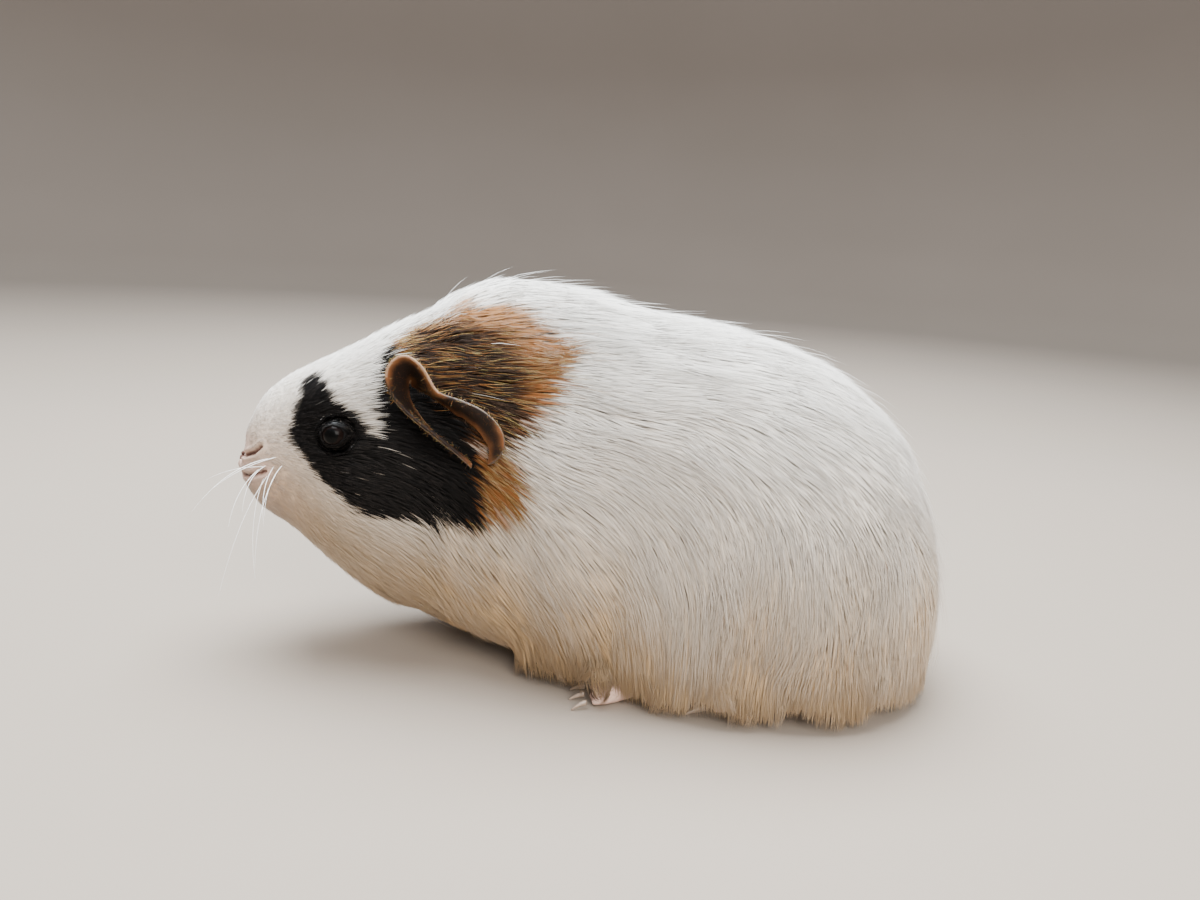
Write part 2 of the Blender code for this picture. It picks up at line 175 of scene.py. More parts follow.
def evaluated_copy(made):
    """The mesh that an object's modifiers make, as a plain mesh of its own."""
    graph = bpy.context.evaluated_depsgraph_get()
    return bpy.data.meshes.new_from_object(made.evaluated_get(graph), depsgraph=graph)


def merged_copy(node_names, grow=0.0):
    """CAD nodes as one mesh, each with its loose triangles merged and pushed out by grow metres."""
    form = bmesh.new()
    for name in node_names:
        part = bmesh.new()
        part.from_mesh(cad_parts[name].data)
        bmesh.ops.remove_doubles(part, verts=part.verts, dist=1e-6)
        part.normal_update()
        for vertex in part.verts:
            vertex.co += vertex.normal * grow
        piece = bpy.data.meshes.new("piece")
        part.to_mesh(piece)
        part.free()
        form.from_mesh(piece)
        bpy.data.meshes.remove(piece)
    mesh = bpy.data.meshes.new("merged")
    form.to_mesh(mesh)
    form.free()
    return mesh


print("points of the head's node:", len(arrays_of(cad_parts["head"].data)))

# %% [markdown]
# ## Melting, finding and smoothing
#
# Three tools shape the animal. A voxel remesh melts parts that overlap into one closed form. A tree
# of faces finds the nearest place on a surface. And relaxing evens a surface out: each point moves
# towards the middle of its neighbours, round by round.

# %% Melt, find the nearest place, relax
def melted(node_names, voxel, grow=0.0):
    """CAD nodes melted into one closed form by voxels, first swollen by grow, both in millimetres."""
    source = show("melted", merged_copy(node_names, grow * MM))
    remesh = source.modifiers.new("melt", "REMESH")
    remesh.mode = "VOXEL"
    remesh.voxel_size = voxel * MM
    mesh = evaluated_copy(source)
    bpy.data.objects.remove(source, do_unlink=True)
    return mesh


def tree_of(points, mesh):
    faces = [tuple(face.vertices) for face in mesh.polygons]
    return BVHTree.FromPolygons([tuple(p) for p in points], faces)


def nearest(tree, points):
    """The nearest places on a surface, and the surface's directions outwards there."""
    places = np.empty((len(points), 3))
    outward = np.empty((len(points), 3))
    find = tree.find_nearest
    for k, point in enumerate(points.tolist()):
        place, normal, _, _ = find(point)
        places[k] = place
        outward[k] = normal
    return places, outward


def unit(vectors):
    return vectors / np.maximum(np.linalg.norm(vectors, axis=-1, keepdims=True), 1e-9)


def relax(points, edges, rounds, strength=0.5, weight=1.0):
    """Evens a surface out: each point moves towards the middle of its neighbours."""
    ends = np.concatenate([edges, edges[:, ::-1]])
    counts = np.maximum(np.bincount(ends[:, 0], minlength=len(points)), 1)[:, None]
    points = points.copy()
    for _ in range(rounds):
        middle = np.stack(
            [np.bincount(ends[:, 0], points[ends[:, 1], k], len(points)) for k in range(3)], axis=1
        )
        points += (middle / counts - points) * strength * weight
    return points


def relax_mesh(mesh, rounds):
    """Relaxes a mesh and returns its new points."""
    points = relax(arrays_of(mesh), edges_of(mesh), rounds)
    set_points(mesh, points)
    return points


# %% [markdown]
# ## The outer form
#
# The CAD model is cut into a head, neck, chest, belly and rump with hair-thin gaps, and its legs
# stand in pockets. A voxel remesh of slightly swollen copies melts them into one closed form.
# That form, moved back by the same amount, is where the tips of the hairs will lie.

# %% One closed form out to the tips of the coat
MELT = 0.9  # millimetres: more than half of the widest gap
FORM_VOXEL = 1.6
FORM_OVER = 0.15  # the form ends up this much outside the solids
FLOOR_GAP = 1.4

form_mesh = melted(BODY_NODES + LEG_NODES, FORM_VOXEL, MELT)
form_points = relax_mesh(form_mesh, 6)
form_points = straightened(form_points - normals_of(form_mesh) * (MELT - FORM_OVER) * MM)
form_points[:, 2] = np.maximum(form_points[:, 2], FLOOR_GAP)
set_points(form_mesh, form_points)
form_tree = tree_of(form_points, form_mesh)
print("outer form:", len(form_points), "points")
print("from", form_points.min(0).round(1), "to", form_points.max(0).round(1))

# %% [markdown]
# ## How deep the coat is
#
# A guinea pig's coat is less than a millimetre deep on its nose, two or three on its face, and
# eight to ten on its body. Outlines like these, read along the animal, drive the skin and the
# hairs alike, so that the two always meet.

# %% Outlines along the body, in millimetres
COAT_DEPTH = (
    (-112, 0.5), (-103, 0.9), (-92, 1.7), (-78, 2.4), (-62, 3.4), (-48, 6.0), (-25, 7.5), (112, 8.5),
)
HAIR_LENGTH = (
    (-112, 1.5), (-105, 2.2), (-97, 3.2), (-88, 4.4), (-78, 6.0), (-68, 8.5), (-58, 13), (-47, 20),
    (-34, 27), (-12, 32), (20, 36), (60, 38), (100, 33), (112, 28),
)
BACK_LINE = (
    (-111, 71), (-103, 80), (-92, 88.5), (-78, 96.5), (-62, 106), (-45, 114.5), (-28, 118),
    (-10, 117), (14, 112), (44, 107), (66, 100), (82, 90), (94, 77), (103, 60), (109, 43), (112, 26),
)
UNDER_LINE = (
    (-111, 49), (-104, 43.5), (-95, 37), (-84, 27), (-74, 18), (-60, 9), (-36, 4), (0, 2.5),
    (30, 1.6), (60, 1.5), (96, 1.6), (107, 4), (112, 12),
)
AXIS_LEVEL = ((-111, 59), (-95, 60), (-80, 57), (-60, 56), (-30, 56), (60, 48), (100, 40), (112, 34))


def read(outline, x):
    xs, values = zip(*outline)
    return np.interp(x, xs, values)


def height_share(points):
    """0 along the underside of the animal, 1 along its back."""
    low, high = read(UNDER_LINE, points[:, 0]), read(BACK_LINE, points[:, 0])
    return np.clip((points[:, 2] - low) / (high - low), 0, 1)


print("depth of the coat at the shoulder:", read(COAT_DEPTH, -25), "mm")
print("length of its hairs there:", read(HAIR_LENGTH, -25), "mm")

# %% [markdown]
# ## The markings
#
# The animal is white with a black patch round the eye and cheek, and an orange patch with a dark
# brown heart behind the ear. A patch is a closed outline in side view. The signed distance to it,
# with a little noise and softness, says how much of its colour a place has. Skin and hairs read
# the same patches. The side that stays unseen has patches of the same kind, of another size.

# %% Patches as outlines in side view
BLACK_PATCH = (
    (-89, 86), (-93, 78), (-95, 71), (-92, 65), (-87, 60), (-78, 52), (-66, 48), (-48, 46), (-33, 49),
    (-32, 60), (-40, 80), (-58, 88), (-66, 97), (-69, 92), (-70.5, 82), (-69, 73), (-77, 80),
)
ORANGE_PATCH = (
    (-66, 97), (-60, 103), (-54, 108), (-42, 114), (-30, 114), (-20, 109), (-10, 101), (-8, 93),
    (-13, 85), (-20, 77), (-29, 72), (-38, 70), (-46, 72), (-60, 88),
)
CHEEK_PATCH = ((-42, 72), (-31, 71), (-22, 67), (-17, 61), (-20, 54), (-28, 48), (-38, 48), (-44, 56))
DARK_HEART = ((-61, 95), (-55, 103), (-42, 107), (-30, 103), (-21, 92), (-20, 80), (-28, 72), (-52, 74))
PATCHES = {
    # outlines, how soft their edge is in millimetres, how much the noise moves it
    "black": ([BLACK_PATCH], 1.3, 1.0),
    "orange": ([ORANGE_PATCH, CHEEK_PATCH], 3.0, 1.5),
    "heart": ([DARK_HEART], 4.5, 1.5),
}
for name, patch in PATCHES.items():
    print(name, "has", sum(len(outline) for outline in patch[0]), "corners")

# %% [markdown]
# ## Distances and noise for the markings
#
# Whether a place lies inside an outline is found by counting how often a line from it crosses the
# outline: an odd number means inside. The noise is a sum of a few sine waves in random directions,
# which costs little and has no edges or repeats that show.

# %% The distance to an outline, and smooth noise
def outline_distance(points, outline):
    """Distance in side view to a closed outline, below zero inside it."""
    spots = points[:, [0, 2]]
    corners = np.array(outline, float)
    inside = np.zeros(len(spots), bool)
    gap = np.full(len(spots), 1e9)
    for a, b in zip(corners, np.roll(corners, -1, axis=0)):
        along = b - a
        share = np.clip(((spots - a) @ along) / (along @ along), 0, 1)
        gap = np.minimum(gap, np.linalg.norm(spots - a - share[:, None] * along, axis=1))
        crosses = (a[1] > spots[:, 1]) != (b[1] > spots[:, 1])
        height = np.where(abs(along[1]) < 1e-9, 1e-9, along[1])
        inside ^= crosses & (spots[:, 0] < a[0] + (spots[:, 1] - a[1]) * along[0] / height)
    return np.where(inside, -gap, gap)


def waves(points, size, seed):
    """Smooth noise between about -1 and 1, from a few sine waves."""
    mix = np.random.default_rng(seed)
    total = np.zeros(len(points))
    for _ in range(5):
        heading = unit(mix.normal(size=3)) * 2 * pi / (size * mix.uniform(0.7, 1.5))
        total += np.sin(points @ heading + mix.uniform(0, 2 * pi))
    return total / 2.5


print("noise at the nose:", waves(np.array([[-111.0, 0.0, 60.0]]), 16, 4).round(3))

# %% [markdown]
# ## How much of each colour a place has
#
# Both sides are read from the outlines of the left one: the right side's points are first shifted
# and stretched a little. A hair is never half black, so single hairs decide: near the edge of a
# patch some have its colour and others not, which makes the edge of a patch look like fur.

# %% Markings of places and of single hairs
RIGHT_SHIFT = 3.0
RIGHT_LEVEL = 66  # the right side's patches are stretched upwards and downwards from here
RIGHT_STRETCH = 1.06
BLAZE_HALF_WIDTH = 4.5


def markings(points):
    """How black, how orange and how dark brown each place of the straight animal is."""
    left = points[:, 1] < 0
    moved = points.copy()
    moved[~left, 0] += RIGHT_SHIFT
    moved[~left, 2] = RIGHT_LEVEL + (moved[~left, 2] - RIGHT_LEVEL) * RIGHT_STRETCH
    wobble = waves(points, 16, 4) * 1.0 + waves(points, 5, 5) * 0.5
    # On the blaze and along the crest both sides stay white.
    crest = smooth_step((np.abs(points[:, 1]) - BLAZE_HALF_WIDTH) / 4)
    found = []
    for outlines, soft, unrest in PATCHES.values():
        gap = np.min([outline_distance(moved, outline) for outline in outlines], axis=0)
        gap = gap + wobble * unrest
        found.append(smooth_step(0.5 - gap / (2 * soft)) * crest)
    return np.stack(found, axis=1)


def decided(marks, mix):
    """Markings of single hairs: near the edge of a patch some hairs have its colour and others not."""
    luck = mix.normal(0, 0.17, marks.shape)
    return smooth_step((marks + luck - 0.5) / 0.22 + 0.5)


print("black, orange and brown behind the left eye:", markings(np.array([[-66.0, -24.0, 66.0]])).round(2))

# %% [markdown]
# ## The skin
#
# The skin is the outer form again, moved inwards step by step. Between the steps the surface is
# evened out, so that it can't fold over itself where the body curves tightly. Low on the trunk it
# ends above the floor and stays narrow, because the feet are shells of their own.

# %% Move the form inwards by the depth of the coat
SKIN_VOXEL = 1.65
SKIN_LEAST_LEVEL = 5.0
SKIN_WIDTH_LOW = 33.0  # half the width of the trunk's skin near the floor,
SKIN_WIDENS = 14.0  # and how much wider it may be further up
STEPS_IN = 8
BELLY_EXTRA = 3.5  # the coat is deeper along the skirt, where it hangs to the floor

skin_mesh = melted(BODY_NODES + LEG_NODES, SKIN_VOXEL, MELT)
skin_mesh.name = "skin"
skin_edges = edges_of(skin_mesh)
points = relax_mesh(skin_mesh, 4)
points = straightened(points - normals_of(skin_mesh) * MELT * MM)
points[:, 2] = np.maximum(points[:, 2], FLOOR_GAP)
start = points.copy()
skirt = smooth_step((0.35 - height_share(points)) / 0.3)
depth = read(COAT_DEPTH, points[:, 0]) + BELLY_EXTRA * skirt * smooth_step((points[:, 0] + 70) / 40)
for _ in range(STEPS_IN):
    set_points(skin_mesh, points)
    points = points - normals_of(skin_mesh) * (depth / STEPS_IN)[:, None]
    calm = smooth_step((points[:, 0] + 95) / 45)[:, None]
    points = relax(points, skin_edges, 2, 0.5, calm)
points[:, 2] = np.maximum(points[:, 2], SKIN_LEAST_LEVEL)
most_wide = SKIN_WIDTH_LOW + SKIN_WIDENS * smooth_step((points[:, 2] - 9) / 14)
points[:, 1] = np.clip(points[:, 1], -most_wide, most_wide)
set_points(skin_mesh, points)
depth_made = np.linalg.norm(points - start, axis=1)
print("skin:", len(points), "points, on average", depth_made.mean().round(2), "mm deep")

# %% [markdown]
# ## Smaller faces for the head
#
# Lids, nostrils and lips are finer than the faces that a remesh leaves. Faces of the head are split
# in four, and those round the eyes, the nose and the mouth once more. The rest stays coarse, since
# it lies under the coat, where small faces would cost much and show nothing.

# %% Split the faces of the head, and again round the eyes, nose and mouth
HEAD_END_X = -66.0
EYE_CENTRE = np.array((-80.5, 18.3, 71.0))
EYE_RADIUS = 4.6
MUZZLE = np.array((-106.0, 0.0, 60.0))


def split_faces(mesh, chosen):
    form = bmesh.new()
    form.from_mesh(mesh)
    form.faces.ensure_lookup_table()
    edges = {edge for k in np.flatnonzero(chosen) for edge in form.faces[int(k)].edges}
    bmesh.ops.subdivide_edges(form, edges=list(edges), cuts=1, use_grid_fill=True, smooth=0.0)
    form.to_mesh(mesh)
    form.free()


split_faces(skin_mesh, vectors_of(skin_mesh.polygons, "center")[:, 0] < HEAD_END_X)
middles = vectors_of(skin_mesh.polygons, "center")
middles[:, 1] = np.abs(middles[:, 1])
near_eye = np.linalg.norm(middles - EYE_CENTRE, axis=1) < 8.0
near_nose = np.linalg.norm((middles - MUZZLE) / (1, 1.3, 1.3), axis=1) < 9.5
split_faces(skin_mesh, near_eye | near_nose)
points = arrays_of(skin_mesh)
calm = (points[:, 0] < HEAD_END_X + 2).astype(float)[:, None]
points = relax(points, edges_of(skin_mesh), 5, 0.5, calm)
set_points(skin_mesh, points)
print("skin after splitting:", len(points), "points")

# %% [markdown]
# ## Nostrils and lips
#
# The finest forms are pressed into the skin by a function. A groove is a short path, first laid on
# the skin: points near it sink, and those a little further off rise as its lip. That is simpler
# than cutting, and the surface stays whole.

# %% Press grooves into the skin
NOSTRIL = np.array(((-108.0, 4.6, 61.4), (-106.4, 8.0, 62.0), (-104.2, 10.8, 63.4), (-102.6, 12.2, 65.6)))
PHILTRUM = np.array(((-110.2, 0.0, 61.5), (-110.0, 0.0, 59.0), (-109.4, 0.0, 56.6)))
MOUTH = np.array(((-109.2, 0.0, 56.4), (-107.4, 5.4, 55.8), (-104.2, 10.4, 56.8), (-101.0, 13.6, 58.6)))
GROOVES = ((NOSTRIL, 1.5, 0.60), (MOUTH, 1.3, 0.60), (PHILTRUM, 0.7, 0.45))  # path, depth, width
GROOVE_LIP = 0.3


def path_gap(points, path):
    gap = np.full(len(points), 1e9)
    for a, b in zip(path, path[1:]):
        along = b - a
        share = np.clip(((points - a) @ along) / (along @ along), 0, 1)
        gap = np.minimum(gap, np.linalg.norm(points - a - share[:, None] * along, axis=1))
    return gap


def either_gap(points, path):
    """The gap to a path or to its mirror image, whichever is nearer."""
    return np.minimum(path_gap(points, path), path_gap(points * MIRROR, path))


def press(mesh, points, path, depth, width):
    """Sinks a groove along a path, and raises its lips. Also says how much each point lies in it."""
    laid, _ = nearest(tree_of(points, mesh), path)
    gap = path_gap(points, laid)
    set_points(mesh, points)
    sunk = np.exp(-(gap / width) ** 2)
    rise = GROOVE_LIP * np.exp(-((gap - 2.3 * width) / width) ** 2) - depth * sunk
    return points + normals_of(mesh) * rise[:, None], sunk


slit_share = np.zeros(len(points))
for side in SIDES.values():
    for line, depth, width in GROOVES:
        points, sunk = press(skin_mesh, points, line * (1, side, 1), depth, width)
        slit_share = np.maximum(slit_share, sunk)
print("points in grooves:", int((slit_share > 0.5).sum()))

# %% [markdown]
# ## Lids
#
# An eye is a ball, and its lids lie on it as a thin rim round an opening. So the skin inside the
# opening goes behind the ball, the rim rests on it, and further out the skin's hold on the ball
# fades. The opening is an ellipse, tilted so that its inner corner lies lower and further forward.

# %% Lay the lids over the eyes
LID_HALF_SIZE = (3.2, 2.6)  # half-length and half-height of the opening of the lids
LID_TILT = radians(-14)
LID_THICKNESS = 0.3
LID_RIM = 0.15  # how far the rim stands out
LID_EDGE, LID_REACH = 1.1, 2.5  # where the rim ends and where the ball's hold does, in half-sizes
BEHIND_BALL = 1.4
GAZE = unit(np.array((-0.30, 0.94, 0.14)))  # outwards through the middle of the right eye


def lid_frame(side):
    gaze = GAZE * (1, side, 1)
    across = unit(np.cross(gaze, (0, 0, 1)) * -side)
    upward = unit(np.cross(across, gaze) * side)
    upward *= np.sign(upward[2])
    across *= -np.sign(across[0])
    tilt_cos, tilt_sin = cos(LID_TILT), sin(LID_TILT)
    return gaze, across * tilt_cos + upward * tilt_sin, upward * tilt_cos - across * tilt_sin


def lid_ring(points, side):
    """Where points stand to the opening of the lids: 1 on its rim, less inside; and their parts."""
    gaze, across, upward = lid_frame(side)
    offset = points - EYE_CENTRE * (1, side, 1)
    out, a, u = offset @ gaze, offset @ across, offset @ upward
    ring = np.sqrt((a / LID_HALF_SIZE[0]) ** 2 + (u / LID_HALF_SIZE[1]) ** 2)
    return ring, out, a, u, gaze


for side in SIDES.values():
    ring, out, a, u, gaze = lid_ring(points, side)
    flat = np.sqrt(a ** 2 + u ** 2)
    ball = np.sqrt(np.maximum(EYE_RADIUS ** 2 - flat ** 2, 0.2))
    behind = ball - BEHIND_BALL * smooth_step((1.02 - ring) / 0.12)
    wanted = np.where(ring < 1, behind, ball + LID_THICKNESS)
    wanted = wanted + LID_RIM * np.exp(-((ring - 1.12) / 0.12) ** 2)
    hold = np.where(ring < LID_EDGE, 1.0, smooth_step((LID_REACH - ring) / 1.35))
    change = (wanted - out) * hold
    change = np.where(ring >= LID_EDGE, np.maximum(change, -0.6 * hold), change)
    close = (out > -EYE_RADIUS) & (ring < LID_REACH) & (np.abs(points[:, 1] - EYE_CENTRE[1] * side) < 9)
    points[close] += gaze * change[close, None]
set_points(skin_mesh, points)
print("eye openings:", LID_HALF_SIZE, "mm half-size on balls of", EYE_RADIUS)

# %% [markdown]
# ## Fine shells for the legs and the ears
#
# The legs and the ears are too thin for the voxels that made the body. They come as finer shells
# of their own, rooted deep in the body's skin. The legs are melted with smaller voxels. An ear is
# a thin sheet, so its triangles are joined into four-sided faces and rounded by subdivision.

# %% Fine shells for the legs and the ears
LEG_VOXEL = 1.0
LEG_DEPTH = 1.5  # the coat's depth on the upper leg; towards the toes it ends
LEAST_LEVEL = 0.1
EAR_LEVELS = 2


def leg_shell():
    mesh = melted(LEG_NODES, LEG_VOXEL)
    placed = relax_mesh(mesh, 3)
    deep = LEG_DEPTH * MM * smooth_step((placed[:, 2] - 0.004) / 0.010)
    placed = placed - normals_of(mesh) * deep[:, None]
    placed[:, 2] = np.maximum(placed[:, 2], LEAST_LEVEL * MM)
    set_points(mesh, placed)
    return mesh


def ear_shell(side):
    source = show("ear", merged_copy([f"ear_{side}"]))
    form = bmesh.new()
    form.from_mesh(source.data)
    bmesh.ops.join_triangles(form, faces=form.faces, angle_face_threshold=1.2, angle_shape_threshold=2.0)
    form.to_mesh(source.data)
    form.free()
    rounder = source.modifiers.new("rounder", "SUBSURF")
    rounder.levels = rounder.render_levels = EAR_LEVELS
    mesh = evaluated_copy(source)
    bpy.data.objects.remove(source, do_unlink=True)
    return mesh


ear_meshes = {side: ear_shell(side) for side in SIDES}
legs_mesh = leg_shell()
print("points of the legs:", len(legs_mesh.vertices))
print("points of the ears:", [len(mesh.vertices) for mesh in ear_meshes.values()])

# %% [markdown]
# ## Parts of an ear
#
# The finish of an ear and its down need to know where its rim is and which side is the inner one.
# The rim is where the surface turns most sharply. The inner side is the one that faces the canal.

# %% Find the rims and the inner sides
RIM_SHARE = 0.07  # of an ear's points


def edge_turn(mesh):
    """How sharply the surface turns at each point, as 1 minus the cosine to its neighbours."""
    normals, edges = normals_of(mesh), edges_of(mesh)
    bend = 1 - np.einsum("ij,ij->i", normals[edges[:, 0]], normals[edges[:, 1]])
    turn = np.zeros(len(normals))
    np.maximum.at(turn, edges[:, 0], bend)
    np.maximum.at(turn, edges[:, 1], bend)
    return turn


def gap_to(points, targets):
    """Distance from each point to the nearest of the targets."""
    gaps = np.full(len(points), 1e9)
    for first in range(0, len(targets), 400):
        part = targets[first:first + 400]
        gaps = np.minimum(gaps, np.linalg.norm(points[:, None] - part[None], axis=2).min(axis=1))
    return gaps


def in_the_ear(spots, outward, canal, sign):
    """Whether places on an ear look towards its canal, and so lie on its inner side."""
    axis = unit(np.array((-0.1, sign * 0.95, 0.3)))
    reach = spots - canal
    radial = unit(reach - (reach @ axis)[:, None] * axis)
    return (outward @ axis) * 0.6 - np.einsum("ij,ij->i", outward, radial) > 0


ears = {}
for side, sign in SIDES.items():
    mesh = ear_meshes[side]
    spots = arrays_of(mesh) / MM
    low, high = (np.array(corner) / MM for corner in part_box(f"ear_{side}"))
    turn = edge_turn(mesh)
    rim = spots[turn > np.quantile(turn, 1 - RIM_SHARE)]
    canal = np.array(((low[0] + high[0]) / 2 + 6, sign * (np.abs(low[1]) + np.abs(high[1])) / 2, low[2] + 11))
    ears[side] = {
        "mesh": mesh, "canal": canal, "rim_gap": gap_to(spots, rim),
        "inner": in_the_ear(spots, normals_of(mesh), canal, sign).astype(float),
        "high": smooth_step((spots[:, 2] - 76) / 8),
    }
    print(f"ear_{side}:", len(rim), "points on its rim,", int(ears[side]["inner"].sum()), "inside")

# %% [markdown]
# ## Meshes from arrays
#
# Thousands of hairs are quicker to make as arrays than by modelling. A mesh needs the places of its
# points, the point of each corner of each face, and how many corners each face has. Every mesh made
# here also gets the map OFBake, into which colours can later be baked.

# %% Build a mesh and its attributes
BAKE_MAP = "OFBake"


def build_mesh(name, placed, corner_points, totals, places):
    """A mesh from arrays: placed points, the points of every face corner, corners per face, map."""
    mesh = bpy.data.meshes.new(name)
    mesh.vertices.add(len(placed))
    mesh.vertices.foreach_set("co", np.asarray(placed, np.float32).ravel())
    mesh.loops.add(len(corner_points))
    mesh.loops.foreach_set("vertex_index", np.asarray(corner_points, np.int32))
    mesh.polygons.add(len(totals))
    starts = np.concatenate(([0], np.cumsum(totals)[:-1]))
    mesh.polygons.foreach_set("loop_start", np.asarray(starts, np.int32))
    mesh.polygons.foreach_set("use_smooth", np.ones(len(totals), bool))
    layer = mesh.uv_layers.new(name=BAKE_MAP)
    mesh.update(calc_edges=True)
    layer.data.foreach_set("uv", np.asarray(places, np.float32).ravel())
    return mesh


def add_vector(mesh, name, values):
    layer = mesh.attributes.new(name, "FLOAT_VECTOR", "POINT")
    layer.data.foreach_set("vector", np.asarray(values, np.float32).ravel())


def in_first(values):
    """Single values as the first part of a vector attribute."""
    return np.stack((values, 0 * values, 0 * values), axis=1)


def corners_of(mesh):
    """For each face corner: its point and its face."""
    corner_points = np.empty(len(mesh.loops), np.int64)
    mesh.loops.foreach_get("vertex_index", corner_points)
    totals = np.empty(len(mesh.polygons), np.int64)
    mesh.polygons.foreach_get("loop_total", totals)
    return corner_points, np.repeat(np.arange(len(totals)), totals)


print("corners of the skin's faces:", len(corners_of(skin_mesh)[0]))

# %% [markdown]
# ## The skin unrolled like a pelt
#
# A texture map for an animal unrolls it like a pelt: one way runs along the body over its curve,
# the other round it, and the seam lies under the belly. The skin and every tuft share this map, so
# a hair's colours lie where its root does. Ears and legs are unwrapped by Blender's own projection.

# %% Unroll the pelt, and unwrap the shells
def pelt(points):
    """Where straight places lie on the unrolled pelt, both ways in mm and turns."""
    level = read(AXIS_LEVEL, points[:, 0])
    radius = np.hypot(points[:, 1], points[:, 2] - level)
    ends = np.clip(-points[:, 0] / 75, -1, 1)
    along = points[:, 0] + radius * ends
    around = np.arctan2(points[:, 1], points[:, 2] - level) / (2 * pi) + 0.5
    return np.stack((along, around), axis=1)


def pelt_corners(mesh, points):
    """The pelt place of each face corner, with no face torn across the seam."""
    corner_points, corner_faces = corners_of(mesh)
    places = pelt(points)[corner_points]
    first = np.r_[0, np.flatnonzero(np.diff(corner_faces)) + 1]
    anchor = places[first, 1][corner_faces]
    places[:, 1] += np.round(anchor - places[:, 1])
    return places


def spread(places, low, high):
    """Places stretched to fill a part of the map from low to high."""
    least, most = places.min(axis=0), places.max(axis=0)
    return np.array(low) + (places - least) / (most - least) * (np.array(high) - np.array(low))


def own_unwrap(mesh):
    """Blender's own unwrap, for shells that aren't part of the pelt."""
    source = show("unwrap", mesh, smooth=False)
    bpy.context.view_layer.objects.active = source
    source.select_set(True)
    bpy.ops.object.mode_set(mode="EDIT")
    bpy.ops.mesh.select_all(action="SELECT")
    bpy.ops.uv.smart_project(angle_limit=radians(66), island_margin=0.01)
    bpy.ops.object.mode_set(mode="OBJECT")
    places = np.empty(len(mesh.loops) * 2)
    mesh.uv_layers.active.data.foreach_get("uv", places)
    bpy.data.objects.remove(source, do_unlink=True)
    return places.reshape(-1, 2)


pelt_map = pelt_corners(skin_mesh, points)
print("pelt:", np.ptp(pelt_map[:, 0]).round(), "mm long and", np.ptp(pelt_map[:, 1]).round(2), "turns round")

# %% [markdown]
# ## One mesh for the whole skin
#
# Body, ears and legs become one mesh, each with its own strip of the map. They overlap where an ear
# or a leg is rooted, deep under the coat, so no seam has to be closed.

# %% Join the shells into the skin
PELT_SHARE = 0.86  # the body takes this much of the map's height; ears and legs take the rest
STRIP_GAP = 0.002

shells = [(skin_mesh, turned(points), spread(pelt_map, (0, 0), (1, PELT_SHARE)))]
share = (1 - PELT_SHARE) / 3
for k, mesh in enumerate([ear_meshes["left"], ear_meshes["right"], legs_mesh]):
    low = PELT_SHARE + k * share + STRIP_GAP
    shells.append((mesh, arrays_of(mesh), spread(own_unwrap(mesh), (0, low), (1, low + share - STRIP_GAP))))

all_points, all_corners, all_totals, all_maps, shell_of = [], [], [], [], []
for k, (mesh, placed, places) in enumerate(shells):
    corner_points, corner_faces = corners_of(mesh)
    all_corners.append(corner_points + sum(len(p) for p in all_points))
    all_points.append(placed)
    all_totals.append(np.bincount(corner_faces))
    all_maps.append(places)
    shell_of.append(np.full(len(placed), k))
shell_of = np.concatenate(shell_of)
skin_points = np.concatenate(all_points)
joined = map(np.concatenate, (all_corners, all_totals, all_maps))
skin = show("skin", build_mesh("skin", skin_points, *joined))
print("skin with legs and ears:", len(skin_points), "points,", len(skin.data.polygons), "faces")

# %% [markdown]
# ## What the skin says about each place
#
# Four attributes ride on the skin. *marks* holds how black, orange and dark brown the coat is
# there; *bare* holds where naked skin shows: nose and lips, lids, and toes; *slit_shade* holds the
# painted shade in nostrils and mouth; *ear* holds how near the rim a place is and whether it is inside.

# %% Attributes for markings and bare skin
NOSE_CENTRE = (-108.5, 0, 62.0)
NOSE_WIDTHS = (1, 1.9, 1.0)

body_part = shell_of == 0
ear_part = (shell_of == 1) | (shell_of == 2)
leg_part = shell_of == 3
skin_places = straightened(skin_points)
marks = markings(skin_places)
marks[leg_part] = 0
ear_values = np.zeros((len(skin_points), 3))
for k, ear in enumerate(ears.values(), start=1):
    rim_gap = ear["rim_gap"]
    rim_line, glow_band = np.exp(-rim_gap / 0.8) * ear["high"], np.exp(-rim_gap / 9.0)
    ear_values[shell_of == k] = np.stack((rim_line, glow_band, ear["inner"]), axis=1)
    marks[shell_of == k] = (0, 1, 0)

nose_gap = np.linalg.norm((skin_places - NOSE_CENTRE) / NOSE_WIDTHS, axis=1)
lips_gap = either_gap(skin_places, MOUTH)
# painted shade: nostrils and mouth darkened where the grooves sink
slit_shade = np.zeros(len(skin_points))
slit_shade[body_part] = smooth_step((slit_share - 0.12) / 0.5)
naked = np.maximum(smooth_step((8.4 - nose_gap) / 5.5), 0.9 * smooth_step((4.4 - lips_gap) / 3.4))
bare = np.zeros((len(skin_points), 3))
bare[body_part, 0] = naked[body_part]
for side in SIDES.values():
    ring, out, _, _, _ = lid_ring(skin_places, side)
    lid = smooth_step((1.42 - ring) / 0.2) * (out > 0) * (skin_places[:, 1] * side > 0)
    bare[:, 1] = np.maximum(bare[:, 1], lid * body_part)
bare[leg_part, 2] = smooth_step((13 - skin_places[leg_part, 2]) / 5)
for name, values in (("marks", marks), ("bare", bare), ("slit_shade", in_first(slit_shade)), ("ear", ear_values)):
    add_vector(skin.data, name, values)
print("black on", round(float((marks[:, 0] > 0.5).mean()), 3), "of the skin's points")

# %% [markdown]
# ## Trees of Geometry Nodes
#
# A tree of Geometry Nodes is a recipe that a modifier carries out. Its inputs have names, but the
# modifier stores their values under each socket's identifier, so a helper looks these up.

